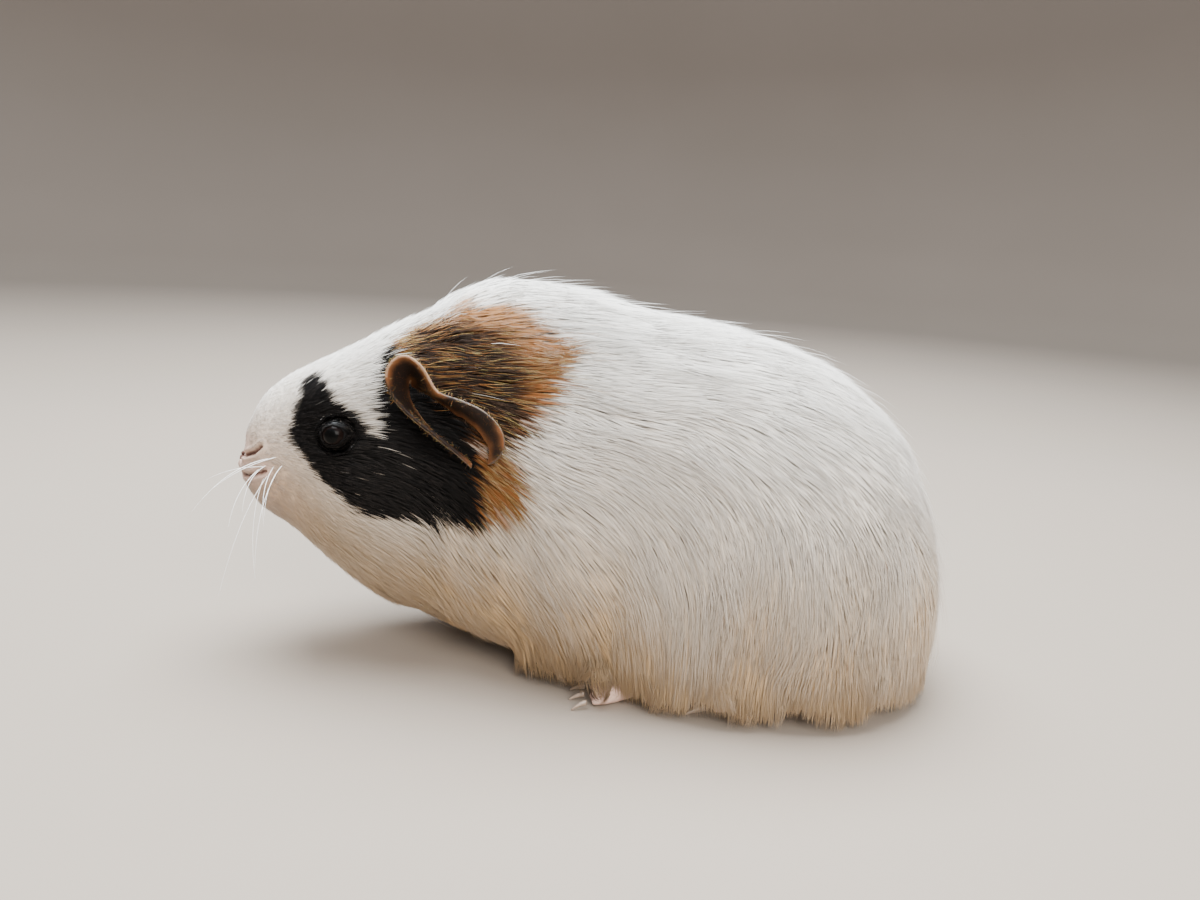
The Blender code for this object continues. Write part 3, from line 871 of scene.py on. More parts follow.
# %% Make a tree, and set its inputs
def node_tree(name, inputs):
    """A tree with geometry in and out and the named inputs, each of a kind; and its two end nodes."""
    tree = bpy.data.node_groups.new(name, "GeometryNodeTree")
    face = tree.interface
    face.new_socket("Geometry", in_out="INPUT", socket_type="NodeSocketGeometry")
    for input_name, kind in inputs.items():
        face.new_socket(input_name, in_out="INPUT", socket_type=f"NodeSocket{kind}")
    face.new_socket("Geometry", in_out="OUTPUT", socket_type="NodeSocketGeometry")
    return tree, tree.nodes.new("NodeGroupInput"), tree.nodes.new("NodeGroupOutput")


def made_by(tree, source, wanted):
    """The mesh that a tree makes from an object, with its inputs set by name. The object goes."""
    modifier = source.modifiers.new("nodes", "NODES")
    modifier.node_group = tree
    for item in tree.interface.items_tree:
        if item.in_out == "INPUT" and item.name in wanted:
            modifier[item.identifier] = wanted[item.name]
    mesh = evaluated_copy(source)
    source.modifiers.remove(modifier)
    bpy.data.objects.remove(source, do_unlink=True)
    return mesh


# %% [markdown]
# ## Where the hairs grow
#
# Hairs that stand in rows or in clumps by chance look like a brush. Geometry Nodes has a node for
# this, Distribute Points on Faces: its Poisson method keeps a least distance between the points,
# as between real follicles. The tree below scatters points on any mesh and turns them into plain
# vertices. Its density and distance are named inputs, and its seed is fixed.

# %% A node tree that scatters roots
def scatter_tree():
    inputs = {"Roots per square metre": "Float", "Least distance": "Float", "Seed": "Int"}
    tree, start, end = node_tree("scatter roots", inputs)
    scatter = tree.nodes.new("GeometryNodeDistributePointsOnFaces")
    scatter.distribute_method = "POISSON"
    to_vertices = tree.nodes.new("GeometryNodePointsToVertices")
    for name, target in zip(("Geometry", *inputs), ("Mesh", "Density Max", "Distance Min", "Seed")):
        tree.links.new(start.outputs[name], scatter.inputs[target])
    tree.links.new(scatter.outputs["Points"], to_vertices.inputs["Points"])
    tree.links.new(to_vertices.outputs["Mesh"], end.inputs["Geometry"])
    return tree


SCATTER = scatter_tree()


def roots_on(mesh, per_square_mm, least_distance, seed):
    """Points scattered evenly over a mesh whose points are in metres."""
    wanted = {
        "Roots per square metre": per_square_mm * 1e6,
        "Least distance": least_distance * MM,
        "Seed": seed,
    }
    found = made_by(SCATTER, show("roots", mesh, smooth=False), wanted)
    roots = arrays_of(found)
    bpy.data.meshes.remove(found)
    return roots


def scaled_copy(mesh, places):
    """The same mesh with its points at places in millimetres, as metres."""
    copy = mesh.copy()
    set_points(copy, places * MM)
    return copy


FORM_IN_METRES = scaled_copy(form_mesh, form_points)
print("the tree that scatters roots has", len(SCATTER.nodes), "nodes")

# %% [markdown]
# ## The lie of the coat
#
# Hair lies in streams. It runs from the nose back over the face and cheeks, level along the
# shoulder, and then bends down, until it hangs straight on the lower flank and the skirt. Two
# functions say which way a hair leans at any place: one for the head and one for the body.

# %% Which way the hairs lie
NOSE_TIP = np.array((-114.0, 0.0, 63.0))
HANG_START = ((-60, 0.10), (-20, 0.10), (30, 0.0), (70, -0.05))  # share down the side where it begins
HANG_RUN = ((-60, 0.9), (-20, 0.9), (30, 0.75), (70, 0.62))
HANG_MOST = ((-75, 30), (-50, 46), (-20, 62), (20, 86), (50, 90))  # degrees
OUTWARD_SHARE = 0.10  # the lie also fans out a little from the crest


def along_surface(vectors, outward):
    return vectors - np.einsum("ij,ij->i", vectors, outward)[:, None] * outward


def lie(points, outward):
    """The way a hair leans at straight places on the animal, along the surface."""
    x, y = points[:, 0], points[:, 1]
    down_share = 1 - height_share(points)
    hang = smooth_step((down_share - read(HANG_START, x)) / read(HANG_RUN, x))
    angle = np.radians(read(HANG_MOST, x)) * hang
    angle = angle + np.radians(9) * waves(points, 34, 11) + np.radians(4) * waves(points, 12, 12)
    back = along_surface(np.tile((1.0, 0.0, 0.0), (len(points), 1)), outward)
    down = along_surface(np.tile((0.0, 0.0, -1.0), (len(points), 1)), outward)
    side = along_surface(np.stack((0 * x, np.sign(y) * smooth_step(np.abs(y) / 6), 0 * x), axis=1), outward)
    body = np.cos(angle)[:, None] * back + np.sin(angle)[:, None] * down + OUTWARD_SHARE * side
    head = along_surface(points - NOSE_TIP, outward)
    share = smooth_step((x + 84) / 34)[:, None]
    return unit(unit(body) * share + unit(head) * (1 - share))


flank, flank_outward = nearest(form_tree, np.array([(20.0, -52.0, 60.0)]))
print("on the left flank the hairs lie towards", lie(flank, flank_outward).round(2)[0])

# %% [markdown]
# ## Paths along the surface
#
# A hair's path is walked in equal steps over a surface: go a little in the direction of the lie,
# drop onto the surface, read the lie again. Low on the flank the hair lets go and hangs. A path is
# then read again at as many rings as its tuft has.

# %% Walk the paths and read them again
HANG_LEVEL = 17  # hairs let go of the body below here,
HANG_FRONT = -24  # and only behind here


def trace(tree, starts, lengths, steps, loose=False):
    """Walks along a surface from each start, by equal steps. Loose hair leaves it to hang freely."""
    path, sides = [], []
    free = np.zeros(len(starts), bool)
    spot, outward = nearest(tree, starts)
    heading = lie(spot, outward)
    for k in range(steps + 1):
        if k:
            spot = spot + heading * (lengths / steps)[:, None]
            held, held_out = nearest(tree, spot)
            spot = np.where(free[:, None], spot, held)
            outward = np.where(free[:, None], outward, held_out)
        path.append(spot)
        sides.append(outward)
        fresh = lie(spot, outward)
        if loose:
            low = (spot[:, 2] < HANG_LEVEL) & (spot[:, 0] > HANG_FRONT)
            free |= low & (outward[:, 2] < -0.12) & (heading[:, 2] < -0.3)
            drop = unit(heading + np.array((0.03, 0.0, -0.55)))
            fresh = np.where(free[:, None], drop, fresh)
        heading = unit(heading * 0.35 + fresh * 0.65)
    return np.stack(path, axis=1), np.stack(sides, axis=1)


def resample(path, sides, shares):
    """Each path read again at the given shares of its length, up to its last allowed share."""
    steps = path.shape[1] - 1
    at = np.clip(shares * steps, 0, steps - 1e-6)
    low = at.astype(int)
    part = (at - low)[..., None]
    rows = np.arange(len(path))[:, None]
    mixed = path[rows, low] * (1 - part) + path[rows, low + 1] * part
    mixed_sides = unit(sides[rows, low] * (1 - part) + sides[rows, low + 1] * part)
    return mixed, mixed_sides


def with_rings(path, sides, rings, reach=None):
    """Each path read again as rings evenly along it, or along the first share of it that reach gives."""
    reach = np.ones(len(path)) if reach is None else reach
    return resample(path, sides, reach[:, None] * np.linspace(0, 1, rings + 1)[None])


walk, _ = trace(form_tree, flank, np.array([30.0]), 8)
print("a hair of the flank ends", (walk[0, -1] - walk[0, 0]).round(1), "mm from its root")

# %% [markdown]
# ## From a path to a tuft
#
# A tuft is a thin, closed blade with three sides, some rings along it and a point. All tufts of
# one kind have the same faces, so one template is worked out once and repeated with new points.

# %% The template of a tuft
def tuft_template(rings):
    corners, totals, shifts = [0, 1, 2], [3], [(0.0, 0.0), (0.5, 0.3 / rings), (1.0, 0.0)]
    for ring in range(rings - 1):
        low, high = ring / rings, (ring + 1) / rings
        for k in range(3):
            a, b = ring * 3 + k, ring * 3 + (k + 1) % 3
            corners += [b, a, a + 3, b + 3]
            totals.append(4)
            shifts += [((k + 1) / 3, low), (k / 3, low), (k / 3, high), ((k + 1) / 3, high)]
    for k in range(3):
        last = (rings - 1) * 3
        corners += [last + (k + 1) % 3, last + k, rings * 3]
        totals.append(3)
        shifts += [((k + 1) / 3, (rings - 1) / rings), (k / 3, (rings - 1) / rings), ((k + 0.5) / 3, 1.0)]
    return np.array(corners), np.array(totals), np.array(shifts)


def triangles(rings):
    return 6 * (rings - 1) + 4


print("triangles of a tuft with 2, 3 and 5 rings:", [triangles(rings) for rings in (2, 3, 5)])

# %% [markdown]
# ## Many tufts in one mesh
#
# Each blade widens a little above its root and then narrows to its tip. Lit as blades, hairs would
# glitter; lit as the body under them, they would look like paint on a ball. So the normals that
# the light sees are a mix of both, stored in the mesh as custom normals.

# %% The mesh of many tufts
PATCH_SIZE = 0.003  # of a tuft on the map
SOFT_SHADING = 0.75  # how much a hair is lit like the body under it rather than like a blade
BESIDE = 0.5  # millimetres, to carry a direction from the straight animal to the model


def blade_points(path, sides, widths):
    """The points of three-sided blades: three for each ring, then the tip."""
    count, rings = len(path), path.shape[1] - 1
    share = np.linspace(0, 1, rings + 1)[:rings]
    run = unit(np.gradient(path, axis=1))[:, :rings]
    across = unit(np.cross(run, sides[:, :rings]))
    lift = unit(np.cross(across, run))
    profile = (0.7 + 0.3 * np.minimum(share / 0.3, 1)) * (1 - 0.62 * share ** 1.5)
    half = widths[:, None, None] * profile[None, :, None] / 2
    centre = path[:, :rings]
    edges = (
        centre + across * half - lift * half * 0.35,
        centre + lift * half * 0.75,
        centre - across * half - lift * half * 0.35,
    )
    return np.concatenate((np.stack(edges, axis=2).reshape(count, rings * 3, 3), path[:, rings:]), axis=1)


def tufts_mesh(name, path, sides, widths, roots, colours, tones, in_model=False):
    """One mesh of closed blades. path holds each blade's ring centres and, last, its tip."""
    place = (lambda points: points) if in_model else turned
    beside_by = BESIDE * MM if in_model else BESIDE
    count, rings = len(path), path.shape[1] - 1
    blade = blade_points(path, sides, widths)
    corners, totals, shifts = tuft_template(rings)
    each = rings * 3 + 1
    corner_points = (corners[None] + np.arange(count)[:, None] * each).ravel()
    places = spread(pelt(roots), (PATCH_SIZE, PATCH_SIZE), (1 - PATCH_SIZE, 1 - PATCH_SIZE))
    places = places[:, None] + (shifts[None] - 0.5) * PATCH_SIZE
    blade = blade.reshape(-1, 3)
    placed = place(blade)
    mesh = build_mesh(name, placed, corner_points, np.tile(totals, count), places.reshape(-1, 2))
    along = np.concatenate((np.repeat(np.linspace(0, 1, rings + 1)[:rings], 3), [1.0]))
    tone, lock = np.repeat(tones, each, axis=0).T
    add_vector(mesh, "marks", np.repeat(colours, each, axis=0))
    add_vector(mesh, "strand", np.stack((np.tile(along, count), tone, lock), axis=1))
    add_vector(mesh, "place", np.repeat(roots * MM, each, axis=0))
    beside = np.concatenate((np.repeat(sides[:, :rings], 3, axis=1), sides[:, rings:]), axis=1).reshape(-1, 3)
    body_normals = unit(place(blade + beside * beside_by) - placed)
    mesh.normals_split_custom_set_from_vertices(
        unit(normals_of(mesh) * (1 - SOFT_SHADING) + body_normals * SOFT_SHADING)
    )
    return mesh


coat_pieces = []


def add_tufts(name, path, sides, widths, roots, colours, tones, chosen=slice(None), in_model=False):
    """Adds the chosen tufts to the coat as one piece, and counts them."""
    parts = (path, sides, widths, roots, colours, tones)
    mesh = tufts_mesh(name, *(part[chosen] for part in parts), in_model)
    coat_pieces.append(show(name, mesh))
    count, rings = len(roots[chosen]), path.shape[1] - 1
    print(f"{name}: {count} tufts, {count * triangles(rings)} triangles")


print("pieces of the coat so far:", len(coat_pieces))

# %% [markdown]
# ## Locks
#
# Silky hair gathers into soft locks. Every lock has a leading hair, and the others of its
# neighbourhood lean towards it more and more along their length. The lock's middle also stands a
# little higher than its sides, which gives the flank its long, soft furrows.

# %% Gather hairs into locks
SKIRT_PULL = 1.1  # how much more the tips of the skirt draw together
SKIRT_LEVEL = 22
AREA_RATIO = 2.2  # of the body's surface to its largest side view
AT_A_TIME = 2000


def gather(path, sides, lock_size, pull, crown, seed):
    """Hairs drawn towards the leaders of their locks, and a number for each lock between 0 and 1."""
    mix = np.random.default_rng(seed)
    starts = path[:, 0]
    area = np.prod(np.sort(np.ptp(starts, axis=0))[1:]) * AREA_RATIO
    leaders = mix.choice(len(path), max(int(area / lock_size ** 2), 8), replace=False)
    closest = np.empty(len(path), np.int64)
    for first in range(0, len(path), AT_A_TIME):
        some = slice(first, first + AT_A_TIME)
        gaps = np.linalg.norm(starts[some, None] - starts[leaders][None], axis=2)
        closest[some] = gaps.argmin(axis=1)
    lead = leaders[closest]
    share = np.linspace(0, 1, path.shape[1])[None, :, None]
    strength = (pull * mix.uniform(0.45, 1.2, len(leaders))[closest])[:, None, None]
    strength = strength * (1 + SKIRT_PULL * smooth_step((SKIRT_LEVEL - path[:, -1, 2]) / 16))[:, None, None]
    shift = (path[lead] - path) * strength * share ** 1.4
    off = np.linalg.norm(starts - starts[lead], axis=1) / lock_size
    rise = crown * (0.55 - off)[:, None, None] * share ** 1.2
    return path + shift + sides * rise, mix.uniform(0, 1, len(leaders))[closest]


print("the tips of the skirt draw together", 1 + SKIRT_PULL, "times as much as others")

# %% [markdown]
# ## The long coat
#
# The body's hairs start on the skin and follow the outer form, rising to it like shingles on a
# roof: what shows at any place is the last third of hairs that grow further forward. That is why
# a hair's colour is read some way along it, where it can be seen. On the skirt the hairs leave
# the form, hang, and end just above the floor in an uneven fringe.

# %% Grow the body's hairs
BODY_ROOTS = 1.32  # per square millimetre of the outer form
BODY_GAP = 0.40
BODY_RINGS = 3
TRACE_STEPS = 8
BODY_FRONT = -68.0
BODY_FULL = -50.0  # from the front to here the long coat grows in among the short one
FOOT_X = 4.0

skin_tree = tree_of(points, skin_mesh)
starts = roots_on(FORM_IN_METRES, BODY_ROOTS, BODY_GAP, 21) / MM
starts = starts[(starts[:, 0] > BODY_FRONT) & (starts[:, 2] > 6)]
mix = np.random.default_rng(5)
grown_in = smooth_step((starts[:, 0] - BODY_FRONT) / (BODY_FULL - BODY_FRONT))
starts = starts[mix.random(len(starts)) < 0.15 + 0.85 * grown_in]
lengths = read(HAIR_LENGTH, starts[:, 0]) * mix.uniform(0.72, 1.12, len(starts))
lengths *= 1 - 0.22 * smooth_step((height_share(starts) - 0.8) / 0.2)
near_foot = np.exp(-((starts[:, 0] - FOOT_X) / 16) ** 2) * smooth_step((42 - starts[:, 2]) / 14)
lengths *= 1 + 0.75 * near_foot
path, sides = trace(form_tree, starts, lengths, TRACE_STEPS, loose=True)
print("body hairs:", len(starts))

# %% [markdown]
# ## The hem of the coat
#
# The skirt isn't cut straight. Whole locks end higher or lower, and each hair differs a little, so
# two noises of different size and a random length decide where a hair ends. Over the feet, which
# stand a little wider than the flanks, the hair is pushed out.

# %% Where hanging hairs end, and how they pass the feet
FOOT_WIDTH = 45.0
HEM_LEVEL = 1.8
LEAST_REACH = 0.12  # of a hair's length


def end_above_floor(path, sides, rings, mix):
    """Cuts hanging hairs at uneven heights, and reads them as rings."""
    base = path[:, 0]
    steps = path.shape[1] - 1
    end_level = HEM_LEVEL + 2.0 * waves(base * (1, 1, 0.2), 12, 17) + 1.3 * waves(base * (1, 1, 0.2), 4, 18)
    end_level = np.maximum(end_level + mix.exponential(2.2, len(base)), 0.4)
    below = path[:, :, 2] < end_level[:, None]
    first = np.where(below.any(axis=1), below.argmax(axis=1), steps + 1)
    last = np.minimum(first, steps + 1) - 1
    rows = np.arange(len(path))
    before, after = path[rows, last, 2], path[rows, np.minimum(last + 1, steps), 2]
    over_end = (before - end_level) / np.maximum(before - after, 1e-6)
    extra = np.where(first <= steps, np.clip(over_end, 0, 1), 0)
    reach = np.maximum((last + extra) / steps, LEAST_REACH)
    return with_rings(path, sides, rings, reach)


def past_the_feet(path):
    """Pushes hanging hair out over the feet."""
    x, y, z = path[..., 0], path[..., 1], path[..., 2]
    wide = FOOT_WIDTH * np.exp(-((x - FOOT_X) / 13) ** 2) * smooth_step((24 - z) / 12)
    path = path.copy()
    path[..., 1] = np.sign(y) * np.maximum(np.abs(y), np.where(wide > 30, wide, 0))
    return path


path, sides = end_above_floor(path, sides, BODY_RINGS, mix)
print("the lowest tip of the long hairs is", path[:, -1, 2].min().round(2), "mm above the floor")

# %% [markdown]
# ## The shape of the long hairs
#
# A long hair starts on the skin and rises to the outer form. It bows to one side, leans with its
# neighbours in broad waves, and its tip stands a little higher or lower, which gives the coat its
# soft swells and partings. Its place in a lock comes from the cell above.

# %% Shape the long hairs
LOCK_SIZE, LOCK_PULL, LOCK_CROWN = 7.0, 0.27, 0.7
FRONT_LOWER = 2.2  # millimetres that the foremost long hairs lie below the outer form

share = np.linspace(0, 1, BODY_RINGS + 1)
depth_here = read(COAT_DEPTH, starts[:, 0])
under, _ = nearest(skin_tree, path[:, 0] - sides[:, 0] * depth_here[:, None])
sink = under - path[:, 0]
gathered, lock_tone = gather(path, sides, LOCK_SIZE, LOCK_PULL, LOCK_CROWN, 31)
across = np.cross(unit(np.gradient(path, axis=1)), sides)
bow = mix.normal(0, 0.45, len(starts)) + 0.5 * waves(starts, 8, 13)
lean = (4.2 * waves(starts, 19, 19) + 1.0 * waves(starts, 9, 20)) * smooth_step((starts[:, 0] + 50) / 30)
sway = bow[:, None] * np.sin(pi * share)[None] + mix.normal(0, 0.40, len(starts))[:, None] * share ** 2
sway += lean[:, None] * share ** 1.4
swell = 0.9 * waves(starts, 24, 14) + 0.3 * waves(starts, 9, 15) - 0.6
tip_lift = swell + mix.normal(0, 0.17, len(starts)) + mix.exponential(0.14, len(starts))
tip_lift -= FRONT_LOWER * (1 - smooth_step((starts[:, 0] - BODY_FRONT) / (BODY_FULL + 10 - BODY_FRONT)))
body_path = gathered + sink[:, None] * ((1 - share) ** 1.7)[None, :, None]
body_path = body_path + sides * (tip_lift[:, None] * share)[:, :, None] + across * sway[:, :, None]
body_path = past_the_feet(body_path)
body_path[:, :, 2] = np.maximum(body_path[:, :, 2], 0.3)
print("the tips stand from", tip_lift.min().round(1), "to", tip_lift.max().round(1), "mm off the outer form")

# %% [markdown]
# ## The long coat in pieces
#
# The hairs take their colours from the markings at the part of them that shows. The coat is cut
# into five pieces a side, so that no single mesh grows too heavy to handle.

# %% Colour the long hairs and cut the coat into pieces
PIECE_EDGES = (-200, -32, 2, 36, 70, 200)
PIECE_NAMES = ("neck", "shoulder", "flank", "haunch", "rump")

seen_at = path[:, 2] * 0.75 + path[:, 3] * 0.25
body_colours = decided(markings(seen_at + mix.normal(0, 0.9, seen_at.shape)), mix)
body_tones = np.stack((mix.random(len(starts)), lock_tone), axis=1)
body_widths = mix.uniform(0.17, 0.31, len(starts))
for side, sign in SIDES.items():
    for part_name, low, high in zip(PIECE_NAMES, PIECE_EDGES, PIECE_EDGES[1:]):
        chosen = (starts[:, 1] * sign >= 0) & (starts[:, 0] >= low) & (starts[:, 0] < high)
        name = f"coat_{part_name}_{side}"
        add_tufts(name, body_path, sides, body_widths, starts, body_colours, body_tones, chosen)

# %% [markdown]
# ## The undercoat
#
# Under the long hairs lies a dense, woolly undercoat. It closes the gaps between them, so that
# the coat looks full and soft. Here it is made of broader, shorter tufts that lie a little deeper.

# %% Grow the undercoat
UNDER_ROOTS = 0.70  # per square millimetre
UNDER_GAP = 0.72
UNDER_RINGS = 2
UNDER_DEPTH = 1.15  # of the tips; the roots lie UNDER_RISE deeper
UNDER_RISE = 4.0

starts = roots_on(FORM_IN_METRES, UNDER_ROOTS, UNDER_GAP, 24) / MM
starts = starts[(starts[:, 0] > BODY_FULL) & (starts[:, 2] > 8)]
mix = np.random.default_rng(15)
lengths = read(HAIR_LENGTH, starts[:, 0]) * mix.uniform(0.45, 0.70, len(starts))
path, sides = trace(form_tree, starts, lengths, TRACE_STEPS, loose=True)
path, sides = end_above_floor(path, sides, UNDER_RINGS, mix)
share = np.linspace(0, 1, UNDER_RINGS + 1)
deep = UNDER_DEPTH + UNDER_RISE * (1 - share) ** 2
under_path = path - sides * (deep[None] + mix.normal(0, 0.2, (len(starts), 1)))[:, :, None]
under_path[:, :, 2] = np.maximum(under_path[:, :, 2], 1.5)
under_colours = markings(path[:, 1] * 0.5 + path[:, 2] * 0.5)
under_tones = np.stack((mix.uniform(0.2, 0.6, len(starts)), mix.uniform(0.2, 0.6, len(starts))), axis=1)
under_widths = mix.uniform(0.9, 1.4, len(starts))
for side, sign in SIDES.items():
    chosen = starts[:, 1] * sign >= 0
    name = f"coat_under_{side}"
    add_tufts(name, under_path, sides, under_widths, starts, under_colours, under_tones, chosen)

# %% [markdown]
# ## The short coat of the head
#
# On the face the hairs are short and lie close. They follow the skin itself, over lids and lips,
# and stay out of the eyes and nostrils. They are denser than the body's hairs, and thin out
# towards the neck, where the long coat takes over, and round the naked nose.

# %% Choose where hairs grow on the head
HEAD_ROOTS = 3.4
HEAD_GAP = 0.26
HEAD_RINGS = 2
HEAD_STEPS = 4
HEAD_BACK = -44.0
NAKED_NOSE = (-108.5, 0, 61.0)

starts = roots_on(scaled_copy(skin_mesh, points), HEAD_ROOTS, HEAD_GAP, 22) / MM
starts = starts[starts[:, 0] < HEAD_BACK]
keep = (either_gap(starts, NOSTRIL) > 1.5) & (either_gap(starts, MOUTH) > 1.3)
for side in SIDES.values():
    ring, out, _, _, _ = lid_ring(starts, side)
    keep &= ~((ring < 1.08) & (out > 0))
mix = np.random.default_rng(6)
thin = 0.45 * smooth_step((starts[:, 0] + 74) / 20) + 0.4 * smooth_step((starts[:, 0] + 58) / 14)
nose_near = np.linalg.norm((starts - NAKED_NOSE) / NOSE_WIDTHS, axis=1)
thin = np.maximum(thin, 0.6 * smooth_step((8.0 - nose_near) / 5.0))
keep &= mix.random(len(starts)) > thin
starts = starts[keep]
print("head hairs:", len(starts))

# %% [markdown]
# ## Short hairs keep clear of the eyes
#
# Hairs round an eye are shorter. A hair whose path would still cross the opening of the lids is cut
# before it: the opening's own measure, 1 on its rim and less inside, says at which step.

# %% Trace the short hairs
def clear_of_eyes(path, sides, lengths):
    """Cuts hairs that would lie over an eye."""
    steps = path.shape[1] - 1
    for side in SIDES.values():
        rings = [lid_ring(path[:, k], side)[:2] for k in range(steps + 1)]
        over = np.stack([(ring < 1.0) & (out >= 0) for ring, out in rings], axis=1)
        first = np.where(over.any(axis=1), over.argmax(axis=1), steps + 1)
        left_over = np.maximum(first - 1, 0.6)
        lengths = np.where(first <= steps, lengths * left_over / steps, lengths)
        path, sides = with_rings(path, sides, steps, np.where(first <= steps, left_over / steps, 1.0))
    return path, sides, lengths


lengths = read(HAIR_LENGTH, starts[:, 0]) * mix.uniform(0.75, 1.15, len(starts))
throat = smooth_step((0.34 - height_share(starts)) / 0.2) * smooth_step((starts[:, 0] + 96) / 20)
lengths *= 1 + 0.8 * throat
for side in SIDES.values():
    ring, out, _, _, _ = lid_ring(starts, side)
    shorter = lengths * (0.55 + 0.45 * smooth_step((ring - 1.1) / 1.4))
    lengths = np.where((ring < 3) & (out > 0), shorter, lengths)
path, sides = trace(skin_tree, starts, lengths, HEAD_STEPS)
path, sides, lengths = clear_of_eyes(path, sides, lengths)
path, sides = with_rings(path, sides, HEAD_RINGS)
print("head hairs are", lengths.min().round(1), "to", lengths.max().round(1), "mm long")

# %% [markdown]
# ## The shape of the short hairs
#
# Short hairs lift off the skin quickly and then lie level, as deep as the coat is there. Their
# locks are small and loose.

# %% Shape the short hairs
TUFT_SIZE, TUFT_PULL, TUFT_CROWN = 2.6, 0.30, 0.25

lift = np.minimum(read(COAT_DEPTH, starts[:, 0]) * 0.95, lengths * 0.26) * mix.uniform(0.7, 1.2, len(starts))
head_path, lock_tone = gather(path, sides, TUFT_SIZE, TUFT_PULL, TUFT_CROWN, 32)
share = np.linspace(0, 1, HEAD_RINGS + 1)
head_path = head_path + sides * ((lift[:, None] * share ** 0.75) - 0.25)[:, :, None]
head_colours = decided(markings(path[:, 1] + mix.normal(0, 0.4, (len(starts), 3))), mix)
head_tones = np.stack((mix.random(len(starts)), lock_tone), axis=1)
head_widths = mix.uniform(0.17, 0.29, len(starts)) * (0.75 + 0.35 * smooth_step((starts[:, 0] + 105) / 45))
for side, sign in SIDES.items():
    chosen = starts[:, 1] * sign >= 0
    add_tufts(f"coat_head_{side}", head_path, sides, head_widths, starts, head_colours, head_tones, chosen)

# %% [markdown]
# ## Short hair on the ears and the feet
#
# The ears carry a thin down that lies towards their rims. The feet have short hair down to the
# toes, longer on the upper leg, where it meets the skirt. Both grow on the fine shells, so they are
# worked out in the model's own frame, in metres.

# %% Short hairs over a shell
SHELL_RINGS = 2
SHELL_GAP = 0.3


def add_shell_tufts(name, mesh, density, width, heading, length, colour, keep=None, *, lift, seed):
    """Adds short hairs over one shell. Which way they run, their length, colour and where they grow
    are functions of their places; colour also reads the directions outwards and draws from mix.
    """
    mix = np.random.default_rng(seed)
    spots, outward = nearest(tree_of(arrays_of(mesh), mesh), roots_on(mesh, density, SHELL_GAP, seed))
    if keep is not None:
        chosen = keep(spots)
        spots, outward = spots[chosen], outward[chosen]
    run = unit(along_surface(heading(spots), outward) + mix.normal(0, 0.16, spots.shape))
    run = unit(along_surface(run, outward))
    lengths = length(spots) * mix.uniform(0.7, 1.2, len(spots)) * MM
    share = np.linspace(0, 1, SHELL_RINGS + 1)
    path = spots[:, None] + run[:, None] * (lengths[:, None] * share)[:, :, None]
    path = path + outward[:, None] * (lengths[:, None] * lift * share ** 1.3 - 0.2 * MM)[:, :, None]
    path[:, :, 2] = np.maximum(path[:, :, 2], 0.3 * MM)
    sides = np.repeat(outward[:, None], SHELL_RINGS + 1, axis=1)
    widths = mix.uniform(0.8, 1.25, len(spots)) * width * MM
    tones = mix.random((len(spots), 2))
    colours = colour(spots, outward, mix)
    add_tufts(name, path, sides, widths, straightened(spots), colours, tones, in_model=True)


print("tufts on a shell have", triangles(SHELL_RINGS), "triangles each")

# %% [markdown]
# ## Down on the ears
#
# The down is painted darker inside the ear towards the canal, as shade, and is brown outside. It
# counts as orange coat with more or less of the dark brown in it.

# %% Grow the down of the ears
EAR_ROOTS = 3.4
EAR_DOWN = 1.9  # millimetres long
EAR_DOWN_WIDTH = 0.12

for k, (side, sign) in enumerate(SIDES.items()):
    canal = ears[side]["canal"] * MM

    def towards_rim(spots):
        return spots - canal + np.array((0.0, sign * 0.004, 0.004))

    def down_colour(spots, outward, mix):
        far = np.linalg.norm(spots - canal, axis=1) / 0.02
        inside = in_the_ear(spots, outward, canal, sign)
        # painted shade: inside the ear the down darkens towards the canal
        dark = np.where(inside, smooth_step((0.80 - far) / 0.45), 0.35)
        dark = np.clip(dark + mix.normal(0, 0.08, len(far)), 0, 1)
        return np.stack((0.0 * far, np.ones(len(far)), dark), axis=1)

    add_shell_tufts(
        f"coat_ear_{side}", ears[side]["mesh"], EAR_ROOTS, EAR_DOWN_WIDTH,
        towards_rim, lambda spots: np.full(len(spots), EAR_DOWN), down_colour,
        lift=0.16, seed=41 + k,
    )

# %% [markdown]
# ## Hair on the feet
#
# On the foot the hair lies forward to the toes, on the leg it hangs. The soles stay bare, and so
# does the part of the leg that the skirt hides.

# %% Grow the hair of the feet
FOOT_ROOTS = 1.2
FOOT_HAIR_WIDTH = 0.24


def down_the_leg(spots):
    low = smooth_step((0.009 - spots[:, 2]) / 0.004)[:, None]
    return np.array((-1.0, 0.0, -0.25)) * low + np.array((-0.2, 0.0, -1.0)) * (1 - low)


def foot_length(spots):
    return 1.6 + 7.5 * smooth_step((spots[:, 2] - 0.0055) / 0.007)


def above_sole(spots):
    return (spots[:, 2] > 0.0032) & (spots[:, 2] < 0.022) & (np.abs(spots[:, 1]) > 0.026)


add_shell_tufts(
    "coat_feet", legs_mesh, FOOT_ROOTS, FOOT_HAIR_WIDTH,
    down_the_leg, foot_length, lambda spots, outward, mix: np.zeros((len(spots), 3)), above_sole,
    lift=0.22, seed=45,
)

# %% [markdown]
# ## Stray hairs
#
# A few long hairs part from the coat along the crest, at the nape and over the rump. They are
# what makes the outline of an animal soft against the light. Some places are likelier than others:
# the wish for a hair is high there, and the roots are drawn from a pool by that wish.

# %% Hairs that stand out from the outline
STRAY_COUNT = 1300
STRAY_MOST_RISE = 3.6
STRAY_RINGS = 5
POOL_ROOTS, POOL_GAP = 0.25, 0.8
NAPE_X = -36

